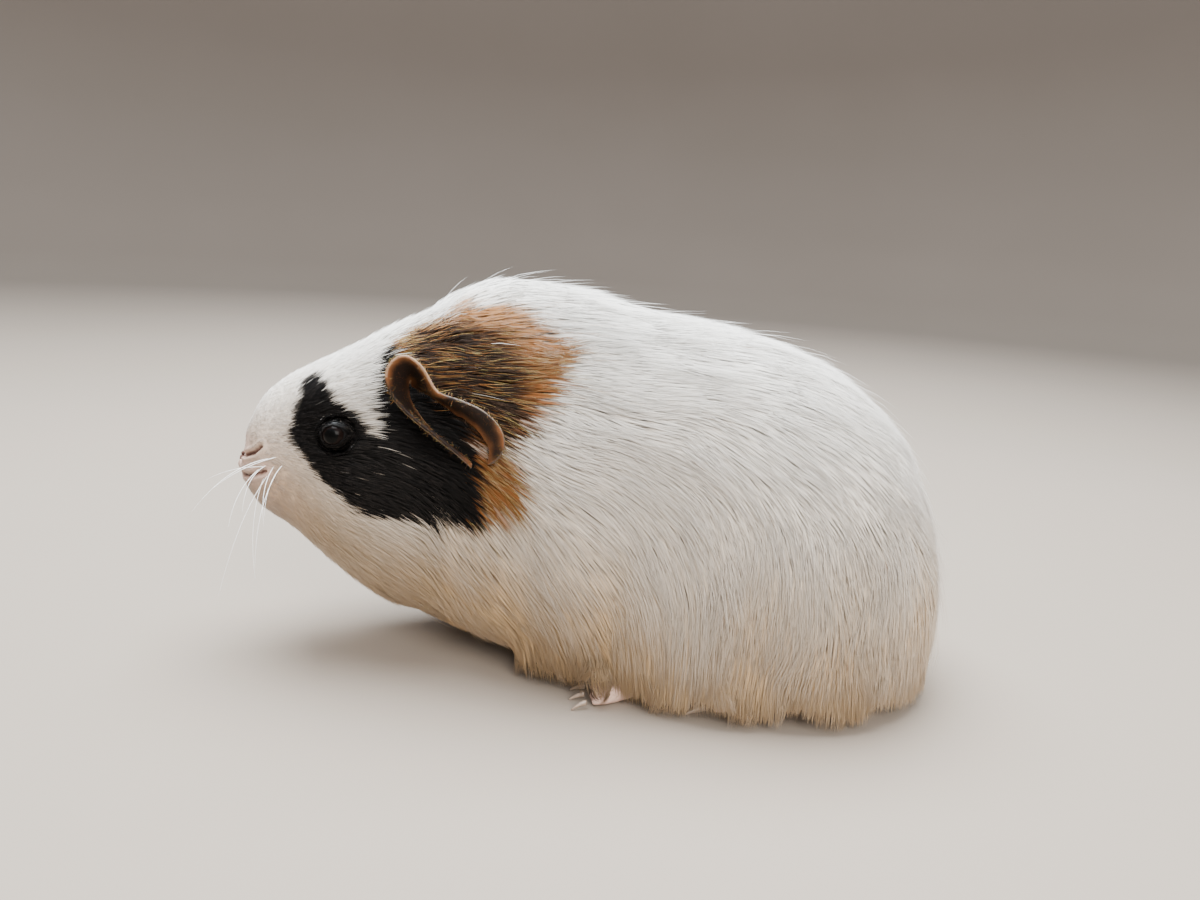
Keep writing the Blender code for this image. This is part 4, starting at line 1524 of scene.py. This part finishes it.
mix = np.random.default_rng(9)
pool = roots_on(FORM_IN_METRES, POOL_ROOTS, POOL_GAP, 23) / MM
pool = pool[pool[:, 0] > -64]
share_up = height_share(pool)
crest = smooth_step((share_up - 0.55) / 0.35) * (0.25 + 0.75 * np.exp(-((pool[:, 0] - NAPE_X) / 26) ** 2))
rump = 0.9 * smooth_step((pool[:, 0] - 70) / 20) * smooth_step((share_up - 0.25) / 0.2)
wish = crest + rump + 0.05
starts = pool[mix.choice(len(pool), STRAY_COUNT, replace=False, p=wish / wish.sum())]
lengths = read(HAIR_LENGTH, starts[:, 0]) * mix.uniform(0.9, 1.5, len(starts))
path, sides = trace(form_tree, starts, lengths, TRACE_STEPS)
path, sides = with_rings(path, sides, STRAY_RINGS)
share = np.linspace(0, 1, STRAY_RINGS + 1)
rise = np.minimum(mix.gamma(2.0, 0.8, len(starts)), STRAY_MOST_RISE)[:, None] * share ** 1.8
rise = rise - read(COAT_DEPTH, starts[:, 0])[:, None] * (1 - share) ** 1.5
across = np.cross(unit(np.gradient(path, axis=1)), sides)
sway = mix.normal(0, 1.6, len(starts))[:, None] * share ** 2
stray_path = path + sides * rise[:, :, None] + across * sway[:, :, None]
stray_path[:, :, 2] = np.maximum(stray_path[:, :, 2], 0.4)
stray_colours = decided(markings(path[:, 2]), mix)
stray_tones = mix.random((len(starts), 2))
stray_widths = mix.uniform(0.10, 0.18, len(starts))
add_tufts("coat_stray", stray_path, sides, stray_widths, starts, stray_colours, stray_tones)

# %% [markdown]
# ## Finishes
#
# A finish is a small tree of nodes. To write its sums as plain Python, the class Term wraps a
# socket and overloads the operators: adding two terms adds a Math node.

# %% A small language for shader nodes
class Term:
    """The output of a node in a finish, used in expressions."""

    def __init__(self, finish, socket):
        self.finish, self.socket = finish, socket

    def __add__(self, other):
        return self.finish.math("ADD", self, other)

    __radd__ = __add__

    def __sub__(self, other):
        return self.finish.math("SUBTRACT", self, other)

    def __rsub__(self, other):
        return self.finish.math("SUBTRACT", other, self)

    def __mul__(self, other):
        return self.finish.math("MULTIPLY", self, other)

    __rmul__ = __mul__

    def held(self):
        """Kept between 0 and 1."""
        return self.finish.node("ShaderNodeClamp", {}, {0: self})


# %% [markdown]
# ## What a finish can do
#
# Colours are mixed with Mix nodes, since a Math node would turn them grey. Ramps and noise work
# on numbers, a bump turns a number into relief, and attributes bring in what the mesh carries.

# %% A finish
def socket_name(keyword):
    return keyword.replace("_", " ")


class Finish:
    """A material with a Principled BSDF and the nodes that feed it."""

    def __init__(self, name, **constants):
        self.material = bpy.data.materials.new(name)
        self.material.use_nodes = True
        self.nodes = self.material.node_tree.nodes
        self.links = self.material.node_tree.links
        self.shader = self.nodes["Principled BSDF"]
        for keyword, value in constants.items():
            self.shader.inputs[socket_name(keyword)].default_value = value

    def node(self, kind, settings, values, output=0):
        made = self.nodes.new(kind)
        for key, value in settings.items():
            setattr(made, key, value)
        for key, value in values.items():
            if isinstance(value, Term):
                self.links.new(value.socket, made.inputs[key])
            else:
                made.inputs[key].default_value = value
        return Term(self, made.outputs[output])

    def math(self, operation, *terms):
        return self.node("ShaderNodeMath", {"operation": operation}, dict(enumerate(terms)))

    def attribute(self, name):
        return self.node("ShaderNodeAttribute", {"attribute_name": name}, {}, "Vector")

    def object_place(self):
        return self.node("ShaderNodeTexCoord", {}, {}, "Object")

    def parts(self, vector):
        split = self.node("ShaderNodeSeparateXYZ", {}, {0: vector}).socket.node
        return [Term(self, output) for output in split.outputs]

    def mix(self, factor, first, second):
        """Between two colours."""
        values = {0: factor, 6: first, 7: second}
        return self.node("ShaderNodeMix", {"data_type": "RGBA"}, values, 2)

    def times(self, colour, factor):
        """A colour made lighter or darker."""
        return self.node("ShaderNodeVectorMath", {"operation": "SCALE"}, {0: colour, "Scale": factor})

    def noise(self, place, scale, detail=2.0):
        values = {"Vector": place, "Scale": scale, "Detail": detail}
        return self.node("ShaderNodeTexNoise", {}, values)

    def ramp(self, value, low, high):
        """0 below low, 1 above high, smooth between."""
        values = {0: value, 1: low, 2: high}
        return self.node("ShaderNodeMapRange", {"interpolation_type": "SMOOTHSTEP"}, values)

    def bump(self, height, strength, distance):
        values = {"Height": height, "Strength": strength, "Distance": distance}
        return self.node("ShaderNodeBump", {}, values)

    def feed(self, **terms):
        """The material, with terms for the sockets of its shader."""
        for keyword, term in terms.items():
            self.links.new(term.socket, self.shader.inputs[socket_name(keyword)])
        return self.material


# %% [markdown]
# ## The finish of the coat
#
# Each hair takes its colour from the markings at its place. Low on the flanks and under the chin,
# warm shade is painted into the white as cream. Hairs differ a little from one another and from lock
# to lock; shade is painted in near the skin, where little light comes, and light from above is
# painted onto the orange high on the back.

# %% Colours of the coat
WHITE = (0.90, 0.87, 0.81, 1)
# slight real cream tint of the white, and warm shade painted low on the flanks and under the chin
CREAM_TINT_AND_SHADE = (0.58, 0.39, 0.22, 1)
BLACK, BLACK_TIP = (0.002, 0.0018, 0.0018, 1), (0.006, 0.005, 0.0045, 1)
ORANGE, ORANGE_LIGHT = (0.20, 0.070, 0.019, 1), (0.43, 0.20, 0.075, 1)
DARK_BROWN = (0.015, 0.009, 0.006, 1)
# pink round the lips: partly skin showing through, partly painted shade on the muzzle
MUZZLE_PINK_AND_SHADE = (0.44, 0.33, 0.28, 1)

# between two places, in metres: along the muzzle, up the flank and down the chin for painted shade,
# down the lips, and over the back for painted light
MUZZLE_SPAN = (-0.106, -0.080)
SHADED_FLANK_SPAN = (0.000, 0.116)
SHADED_CHIN_SPAN = (-0.078, -0.050)
LIPS_SPAN = (-0.084, -0.060)
LIT_BACK_SPAN = (0.095, 0.112)


def white_with_shade(finish, forward, height, place):
    """White, with warm shade painted in as cream low down, and pink round the lips, partly skin and partly
    painted shade.
    """
    muzzle = 1 - finish.ramp(forward, *MUZZLE_SPAN)
    chin = finish.ramp(-1.0 * height, *SHADED_CHIN_SPAN)
    # painted warm shade: cream low on the flanks and under the chin; 0.08 is a slight real tint
    low = 1 - finish.ramp(height, *SHADED_FLANK_SPAN) + muzzle * chin * 0.6 + 0.08
    patchiness = finish.noise(place, 38.0)
    white = finish.mix((low * (patchiness * 0.8 + 0.65)).held(), WHITE, CREAM_TINT_AND_SHADE)
    # pink round the lips: partly skin showing through, partly painted shade on the muzzle
    lips_pink_and_shade = muzzle * finish.ramp(-1.0 * height, *LIPS_SPAN) * 0.8
    return finish.mix(lips_pink_and_shade.held(), white, MUZZLE_PINK_AND_SHADE)


def coat_colour(finish, marks, place, tone, lock, along):
    """The colour at a place: of the markings there, of the tone and lock, and of the height within a hair,
    with shade painted near its root.
    """
    black, orange, heart = finish.parts(marks)
    forward, _, height = finish.parts(place)
    white = white_with_shade(finish, forward, height, place)
    # painted shade: white hairs darker towards the root
    white = finish.times(white, tone * 0.10 + lock * 0.14 + along * 0.08 + 0.74)
    # painted light from above: orange lighter high on the back
    lit_top = finish.ramp(height, *LIT_BACK_SPAN)
    light = (tone * 0.35 + along * 0.2 + lit_top * 0.85 - 0.25).held()
    ginger = finish.mix(light, ORANGE, ORANGE_LIGHT)
    # darker towards the root: real dark roots of orange hairs, and painted shade
    ginger = finish.times(ginger, lock * 0.25 + along * 0.25 + 0.62)
    brown = finish.mix(finish.ramp(tone + along * 0.2, 0.80, 1.1), DARK_BROWN, ORANGE)
    dark = finish.mix(along * tone, BLACK, BLACK_TIP)
    colour = finish.mix(orange, white, ginger)
    colour = finish.mix((heart * orange).held(), colour, brown)
    return finish.mix(black, colour, dark)


print("white turns to cream below", SHADED_FLANK_SPAN[1] * 1000, "mm")

# %% The coat's finish
COAT_GLOW = 0.4
GLOW_DEPTH = 0.0012  # metres

coat = Finish(
    "coat", Roughness=0.55, Specular_IOR_Level=0.09,
    Subsurface_Weight=COAT_GLOW, Subsurface_Scale=GLOW_DEPTH, Subsurface_Radius=(1.0, 0.95, 0.9),
)
along, tone, lock = coat.parts(coat.attribute("strand"))
coat_base = coat_colour(coat, coat.attribute("marks"), coat.attribute("place"), tone, lock, along)
coat_material = coat.feed(Base_Color=coat_base)
print("the coat's finish has", len(coat.nodes), "nodes")

# %% [markdown]
# ## The finish of the skin
#
# Under the coat the skin has the coat's colours, its painted shade included, so that no gap between
# two hairs flashes. Where it is bare it is itself: pinkish on the nose, lips and toes, nearly black
# on the lids. Shade is painted dark into the nostrils and the mouth.

# %% Skin
SKIN_PINK, SKIN_PALE = (0.62, 0.40, 0.34, 1), (0.72, 0.52, 0.44, 1)
LID_DARK = (0.003, 0.0025, 0.0025, 1)
# painted shade inside the nostrils and the mouth
SLIT_SHADE = (0.090, 0.042, 0.034, 1)

bare_skin = Finish("skin", Roughness=0.7, Specular_IOR_Level=0.08)
spot = bare_skin.object_place()
grain, fine = bare_skin.noise(spot, 900.0, 3.0), bare_skin.noise(spot, 2600.0)
nose_bare, lid_bare, toe_bare = bare_skin.parts(bare_skin.attribute("bare"))
in_slit_shade = bare_skin.parts(bare_skin.attribute("slit_shade"))[0]
furry = coat_colour(bare_skin, bare_skin.attribute("marks"), spot, grain, fine, fine * 0.2)
pink = bare_skin.mix(grain, SKIN_PINK, SKIN_PALE)
skin_colour = bare_skin.mix((nose_bare * 0.75).held(), furry, pink)
skin_colour = bare_skin.mix((toe_bare * 0.8).held(), skin_colour, pink)
skin_colour = bare_skin.mix(lid_bare, skin_colour, LID_DARK)
# painted shade darkens the nostrils and the mouth
skin_colour = bare_skin.mix((in_slit_shade * 0.95).held(), skin_colour, SLIT_SHADE)
skin_relief = bare_skin.bump(grain * 0.6 + fine * 0.4, 0.5, 0.0004)
skin_material = bare_skin.feed(Base_Color=skin_colour, Normal=skin_relief)
print("the skin's finish has", len(bare_skin.nodes), "nodes")

# %% [markdown]
# ## The finish of the ears
#
# Light comes through the thin ears near the rim, where they are thinnest, and its orange glow is
# painted into their colour. Deep inside, their shade is painted dark brown. The rim itself is a fine,
# pale line.

# %% Ears
# painted shade deep in the ear's hollow, and painted orange glow of light through the thin rim
EAR_HOLLOW_SHADE, EAR_PAINTED_GLOW = (0.014, 0.008, 0.006, 1), (0.20, 0.080, 0.030, 1)
EAR_BACK_DARK, EAR_BACK = (0.055, 0.040, 0.033, 1), (0.150, 0.115, 0.092, 1)
EAR_RIM = (0.40, 0.28, 0.19, 1)

ear_skin = Finish(
    "ear", Roughness=0.6, Specular_IOR_Level=0.2,
    Subsurface_Weight=0.25, Subsurface_Scale=0.002, Subsurface_Radius=(1.0, 0.35, 0.12),
)
rim_line, glow_band, inside = ear_skin.parts(ear_skin.attribute("ear"))
spot = ear_skin.object_place()
mottle, pores = ear_skin.noise(spot, 240.0, 4.0), ear_skin.noise(spot, 2400.0)
# painted shade deep in the ear's hollow, and painted orange glow of light through the thin rim
inner_shade_and_glow = ear_skin.mix(ear_skin.ramp(glow_band + mottle * 0.35, 0.80, 1.25), EAR_HOLLOW_SHADE, EAR_PAINTED_GLOW)
outer_colour = ear_skin.mix(mottle, EAR_BACK_DARK, EAR_BACK)
ear_base = ear_skin.mix(inside, outer_colour, inner_shade_and_glow)
ear_base = ear_skin.mix(ear_skin.ramp(rim_line, 0.45, 0.9) * 0.7, ear_base, EAR_RIM)
ear_relief = ear_skin.bump(mottle * 0.6 + pores * 0.4, 0.35, 0.0004)
ear_material = ear_skin.feed(Base_Color=ear_base, Normal=ear_relief)
print("the ears' finish has", len(ear_skin.nodes), "nodes")

# %% [markdown]
# ## Finishes on skin and coat
#
# The skin's mesh carries two finishes, since the ears are a part of it: each face takes the one
# that its first corner says. All pieces of the coat share one.

# %% Put the finishes on
skin.data.materials.append(skin_material)
skin.data.materials.append(ear_material)
corner_points, corner_faces = corners_of(skin.data)
_, first_corners = np.unique(corner_faces, return_index=True)
slots = ear_part[corner_points[first_corners]].astype(np.int32)
skin.data.polygons.foreach_set("material_index", slots)
for piece in coat_pieces:
    piece.data.materials.append(coat_material)
print("faces of the ears:", slots.sum(), "of", len(slots))

# %% [markdown]
# ## Eyes
#
# A guinea pig's eye is a dark, bulging bead. The iris is a very dark brown ring that shows only
# in strong light. The ball is round, with a slightly steeper cornea, and a wet, clear surface.

# %% Eyes
CORNEA_RISE = 0.05  # of the eye's radius
CORNEA_EDGE, CORNEA_SOFT = radians(42), radians(20)
UP = Vector((0, 0, 1))


def eye_mesh(sign):
    """The ball of one eye, with the angle from its axis as an attribute."""
    mirrored = np.array((1, sign, 1))
    turn = UP.rotation_difference(Vector(GAZE * mirrored)).to_matrix()
    form = bmesh.new()
    bmesh.ops.create_uvsphere(form, u_segments=48, v_segments=32, radius=EYE_RADIUS)
    angles = np.array([UP.angle(vertex.co) for vertex in form.verts])
    for vertex, angle in zip(form.verts, angles):
        vertex.co *= 1 + CORNEA_RISE * float(smooth_step((CORNEA_EDGE - angle) / CORNEA_SOFT))
        vertex.co = turn @ vertex.co + Vector(EYE_CENTRE * mirrored)
    mesh = bpy.data.meshes.new("eye")
    form.to_mesh(mesh)
    form.free()
    set_points(mesh, turned(arrays_of(mesh)))
    add_vector(mesh, "eye", in_first(angles / pi))
    return mesh


PUPIL = (0.002, 0.002, 0.002, 1)
IRIS_DARK, IRIS_LIGHT = (0.003, 0.002, 0.002, 1), (0.008, 0.004, 0.003, 1)

eye_surface = Finish("eye", Roughness=0.2, Specular_IOR_Level=0.07)
open_angle = eye_surface.parts(eye_surface.attribute("eye"))[0]
iris = eye_surface.mix(eye_surface.noise(eye_surface.object_place(), 1500.0, 3.0), IRIS_DARK, IRIS_LIGHT)
iris_begins, iris_ends = eye_surface.ramp(open_angle, 0.13, 0.15), eye_surface.ramp(open_angle, 0.24, 0.27)
eye_material = eye_surface.feed(Base_Color=eye_surface.mix(iris_begins * (1 - iris_ends), PUPIL, iris))
for side, sign in SIDES.items():
    eye = show(f"eyeball_{side}", eye_mesh(sign))
    eye.data.materials.append(eye_material)
    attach(eye, "root")
    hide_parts(f"eye_{side}")
    print("eye on the", side, "has", len(eye.data.vertices), "points")

# %% [markdown]
# ## Claws
#
# Claws are horn: pale, a little see-through, and greyer at the root. The CAD model has them as
# few-sided solids. Merged and rounded by a Subdivision Surface, they become smooth.

# %% Claws
HORN_DARK, HORN_PALE = (0.22, 0.15, 0.11, 1), (0.44, 0.34, 0.26, 1)

rough_claws = show("claws_rough", merged_copy(CLAW_NODES))
rounder = rough_claws.modifiers.new("rounder", "SUBSURF")
rounder.levels = rounder.render_levels = 2
claws = show("claws", evaluated_copy(rough_claws))
bpy.data.objects.remove(rough_claws, do_unlink=True)
horn = Finish("claw_horn", Roughness=0.32, Specular_IOR_Level=0.5, Coat_Weight=0.2)
streaks = horn.noise(horn.object_place(), 700.0, 3.0)
horn_colour = horn.mix(streaks, HORN_DARK, HORN_PALE)
claws.data.materials.clear()
claws.data.materials.append(horn.feed(Base_Color=horn_colour, Normal=horn.bump(streaks, 0.2, 0.0002)))
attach(claws, "root")
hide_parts(*CLAW_NODES)
print("claws:", len(claws.data.polygons), "faces for", len(CLAW_NODES), "claws")

# %% [markdown]
# ## Whiskers
#
# Whiskers are few, long and stiff. Each is a curve that leaves the whisker pad sideways and bends
# back and down. Geometry Nodes sweeps a round section along all of them: Curve to Mesh makes the
# surface, and its Scale thins each towards its tip.

# %% A node tree that sweeps whiskers
WHISKER_THINS = 0.92  # share of the width that is lost on the way to the tip


def whisker_tree():
    inputs = {"Root radius": "Float", "Sides": "Int", "Finish": "Material"}
    tree, start, end = node_tree("sweep whiskers", inputs)
    along = tree.nodes.new("GeometryNodeSplineParameter")
    thin = tree.nodes.new("ShaderNodeMath")
    thin.operation = "MULTIPLY_ADD"
    thin.inputs[1].default_value = -WHISKER_THINS
    thin.inputs[2].default_value = 1.0
    times = tree.nodes.new("ShaderNodeMath")
    times.operation = "MULTIPLY"
    radius = tree.nodes.new("GeometryNodeSetCurveRadius")
    circle = tree.nodes.new("GeometryNodeCurvePrimitiveCircle")
    circle.inputs["Radius"].default_value = 1.0
    sweep = tree.nodes.new("GeometryNodeCurveToMesh")
    sweep.inputs["Fill Caps"].default_value = True
    realize = tree.nodes.new("GeometryNodeRealizeInstances")
    finish = tree.nodes.new("GeometryNodeSetMaterial")
    link = tree.links.new
    link(along.outputs["Factor"], thin.inputs[0])
    link(thin.outputs[0], times.inputs[0])
    link(start.outputs["Root radius"], times.inputs[1])
    link(start.outputs["Geometry"], radius.inputs["Curve"])
    link(times.outputs[0], radius.inputs["Radius"])
    link(start.outputs["Sides"], circle.inputs["Resolution"])
    link(radius.outputs["Curve"], sweep.inputs["Curve"])
    link(circle.outputs["Curve"], sweep.inputs["Profile Curve"])
    link(times.outputs[0], sweep.inputs["Scale"])
    link(sweep.outputs["Mesh"], realize.inputs["Geometry"])
    link(realize.outputs["Geometry"], finish.inputs["Geometry"])
    link(start.outputs["Finish"], finish.inputs["Material"])
    link(finish.outputs["Geometry"], end.inputs["Geometry"])
    return tree


WHISKERS = whisker_tree()
print("the tree for whiskers has", len(WHISKERS.nodes), "nodes")

# %% [markdown]
# ## Where the whiskers stand
#
# They stand in three rows on the whisker pad, on both sides. No two have the same length or bend.
# A line starts just under the skin and keeps above the floor.

# %% Draw the whiskers' lines
WHISKER_RADIUS = 0.13
WHISKER_SIDES = 6
WHISKER_POINTS = 14
WHISKER_ROWS = (
    # rows of the pad from its top down: how far along and how high each root lies, in millimetres
    ((-104.6, 62.8), (-102.2, 63.6), (-99.6, 64.2)),
    ((-105.4, 60.2), (-103.0, 60.6), (-100.4, 61.0), (-97.6, 61.6)),
    ((-105.0, 57.8), (-102.4, 58.0), (-99.6, 58.4)),
)


def whisker_line(x, z, sign, row, mix):
    """Points along one whisker, which leaves the skin beside (x, z)."""
    place, outward = nearest(skin_tree, np.array([[x, sign * 20.0, z]]))
    sideways = (mix.uniform(-0.75, -0.15), sign * 0.8, mix.uniform(-0.35, 0.25) - 0.28 * row)
    heading = unit(np.array(sideways))
    bend = np.array((mix.uniform(0.15, 0.5), 0.0, -mix.uniform(0.25, 0.7)))
    length = mix.uniform(20, 33)
    share = np.linspace(0, 1, WHISKER_POINTS)[:, None]
    line = place[0] - outward[0] * 0.6 + length * (heading * share + bend * share ** 2 * 0.5)
    line[:, 0] = np.maximum(line[:, 0], -116.0)
    line[:, 2] = np.maximum(line[:, 2], 1.0)
    return turned(line)


curve = bpy.data.curves.new("whisker lines", "CURVE")
curve.dimensions = "3D"
mix = np.random.default_rng(12)
for sign in SIDES.values():
    for row, spots in enumerate(WHISKER_ROWS):
        for x, z in spots:
            spline = curve.splines.new("POLY")
            spline.points.add(WHISKER_POINTS - 1)
            for point, at in zip(spline.points, whisker_line(x, z, sign, row, mix)):
                point.co = (*at, 1.0)
print("whiskers:", len(curve.splines))

# %% Sweep the whiskers
WHISKER_GREY, WHISKER_WHITE = (0.86, 0.84, 0.80, 1), (0.95, 0.94, 0.92, 1)

bristle = Finish("whisker", Roughness=0.3, Specular_IOR_Level=0.5)
bristle_tone = bristle.noise(bristle.object_place(), 60.0, 1.0)
whisker_material = bristle.feed(Base_Color=bristle.mix(bristle_tone, WHISKER_GREY, WHISKER_WHITE))
wanted = {"Root radius": WHISKER_RADIUS * MM, "Sides": WHISKER_SIDES, "Finish": whisker_material}
whiskers = show("whiskers", made_by(WHISKERS, show("whisker_lines", curve, smooth=False), wanted))
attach(whiskers, "root")
print("faces of the whiskers:", len(whiskers.data.polygons))

# %% [markdown]
# ## Skin and coat in the frame
#
# The skin stands for all the flesh of the CAD model: head, body, legs, ears and nose. The coat
# has no part there of its own. Nothing moves, so everything rides on the root.

# %% Hand the skin and the coat to the frame
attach(skin, "root")
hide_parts(*BODY_NODES, *LEG_NODES, *EAR_NODES, "nose")
for piece in coat_pieces:
    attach(piece, "root")
total = sum(sum(len(face.vertices) - 2 for face in piece.data.polygons) for piece in coat_pieces)
print("coat:", len(coat_pieces), "pieces,", total, "triangles")

# %% [markdown]
# ## The floor
#
# A museum model is shown on a plain pale floor. This one is a round sheet whose edge curves up all
# round, like the paper sweep of a studio, so that no horizon shows behind the animal.

# %% Stage
STAGE_PROFILE = (
    # radius and level, in metres, from the middle outwards
    (0.0, 0.0), (0.5, 0.0), (1.6, 0.0), (1.83, 0.046), (2.02, 0.176), (2.15, 0.37), (2.2, 0.6), (2.2, 1.5),
)
STAGE_SEGMENTS = 96
FLOOR_DARK, FLOOR_LIGHT = (0.27, 0.225, 0.18, 1), (0.30, 0.25, 0.205, 1)

stage_points = [(0.0, 0.0, 0.0)] + [
    (radius * cos(2 * pi * k / STAGE_SEGMENTS), radius * sin(2 * pi * k / STAGE_SEGMENTS), level)
    for radius, level in STAGE_PROFILE[1:]
    for k in range(STAGE_SEGMENTS)
]
stage_faces = [(0, 1 + k, 1 + (k + 1) % STAGE_SEGMENTS) for k in range(STAGE_SEGMENTS)]
for ring in range(len(STAGE_PROFILE) - 2):
    for k in range(STAGE_SEGMENTS):
        a, b = (1 + ring * STAGE_SEGMENTS + around % STAGE_SEGMENTS for around in (k, k + 1))
        stage_faces.append((a, a + STAGE_SEGMENTS, b + STAGE_SEGMENTS, b))
floor_mesh = bpy.data.meshes.new("floor")
floor_mesh.from_pydata(stage_points, [], stage_faces)
floor = show("floor", floor_mesh)
paper = Finish("floor", Roughness=0.8)
paper_colour = paper.mix(paper.noise(paper.object_place(), 3.0), FLOOR_DARK, FLOOR_LIGHT)
floor_mesh.materials.append(paper.feed(Base_Color=paper_colour))
print("the floor has", len(floor_mesh.polygons), "faces")

# %% [markdown]
# ## Light
#
# Soft, slightly blue light fills the room. A broad lamp hangs above and behind the animal, and a
# weaker, warmer one stands in front of it, on the camera's side.

# %% World and lamps
SKY, SKY_STRENGTH = (0.84, 0.89, 1.0, 1), 1.15
LIT_POINT = Vector((0, 0, 0.05))
LAMPS = (
    # name, place, width and height, watts, colour
    ("overhead", (-0.05, 0.18, 0.95), (0.9, 0.7), 53.0, (0.90, 0.96, 1.0)),
    ("front", (0.30, -0.80, 0.60), (0.7, 0.5), 15.0, (1.0, 0.96, 0.90)),
)

world = bpy.data.worlds.new("studio")
world.use_nodes = True
world.node_tree.nodes["Background"].inputs["Color"].default_value = SKY
world.node_tree.nodes["Background"].inputs["Strength"].default_value = SKY_STRENGTH
bpy.context.scene.world = world
for name, at, size, watts, colour in LAMPS:
    light = bpy.data.lights.new(name, "AREA")
    light.shape = "RECTANGLE"
    light.size, light.size_y = size
    light.energy = watts
    light.color = colour
    lamp = show(name, light, smooth=False)
    lamp.location = at
    lamp.rotation_euler = (LIT_POINT - Vector(at)).to_track_quat("-Z", "Y").to_euler()
print("lamps:", ", ".join(name for name, *_ in LAMPS))

# %% [markdown]
# ## Camera
#
# The camera stands low and close beside the animal's left flank, tipped down a little and rolled
# by a few degrees. Its lens is wide, as close portraits of small animals often have it.

# %% Camera
CAMERA_AT = Vector((-0.0011, -0.278, 0.1303))
CAMERA_TIP, CAMERA_ROLL = radians(77), radians(4)

camera = show("camera", bpy.data.cameras.new("camera"), smooth=False)
camera.data.lens = 27.0
camera.data.sensor_width = 36.0
camera.data.clip_start = 0.01
turn = Matrix.Rotation(CAMERA_TIP, 4, "X") @ Matrix.Rotation(CAMERA_ROLL, 4, "Z")
camera.matrix_world = Matrix.Translation(CAMERA_AT) @ turn
bpy.context.scene.camera = camera
print("the camera stands", round(CAMERA_AT.length * 1000), "mm from the middle of the floor")
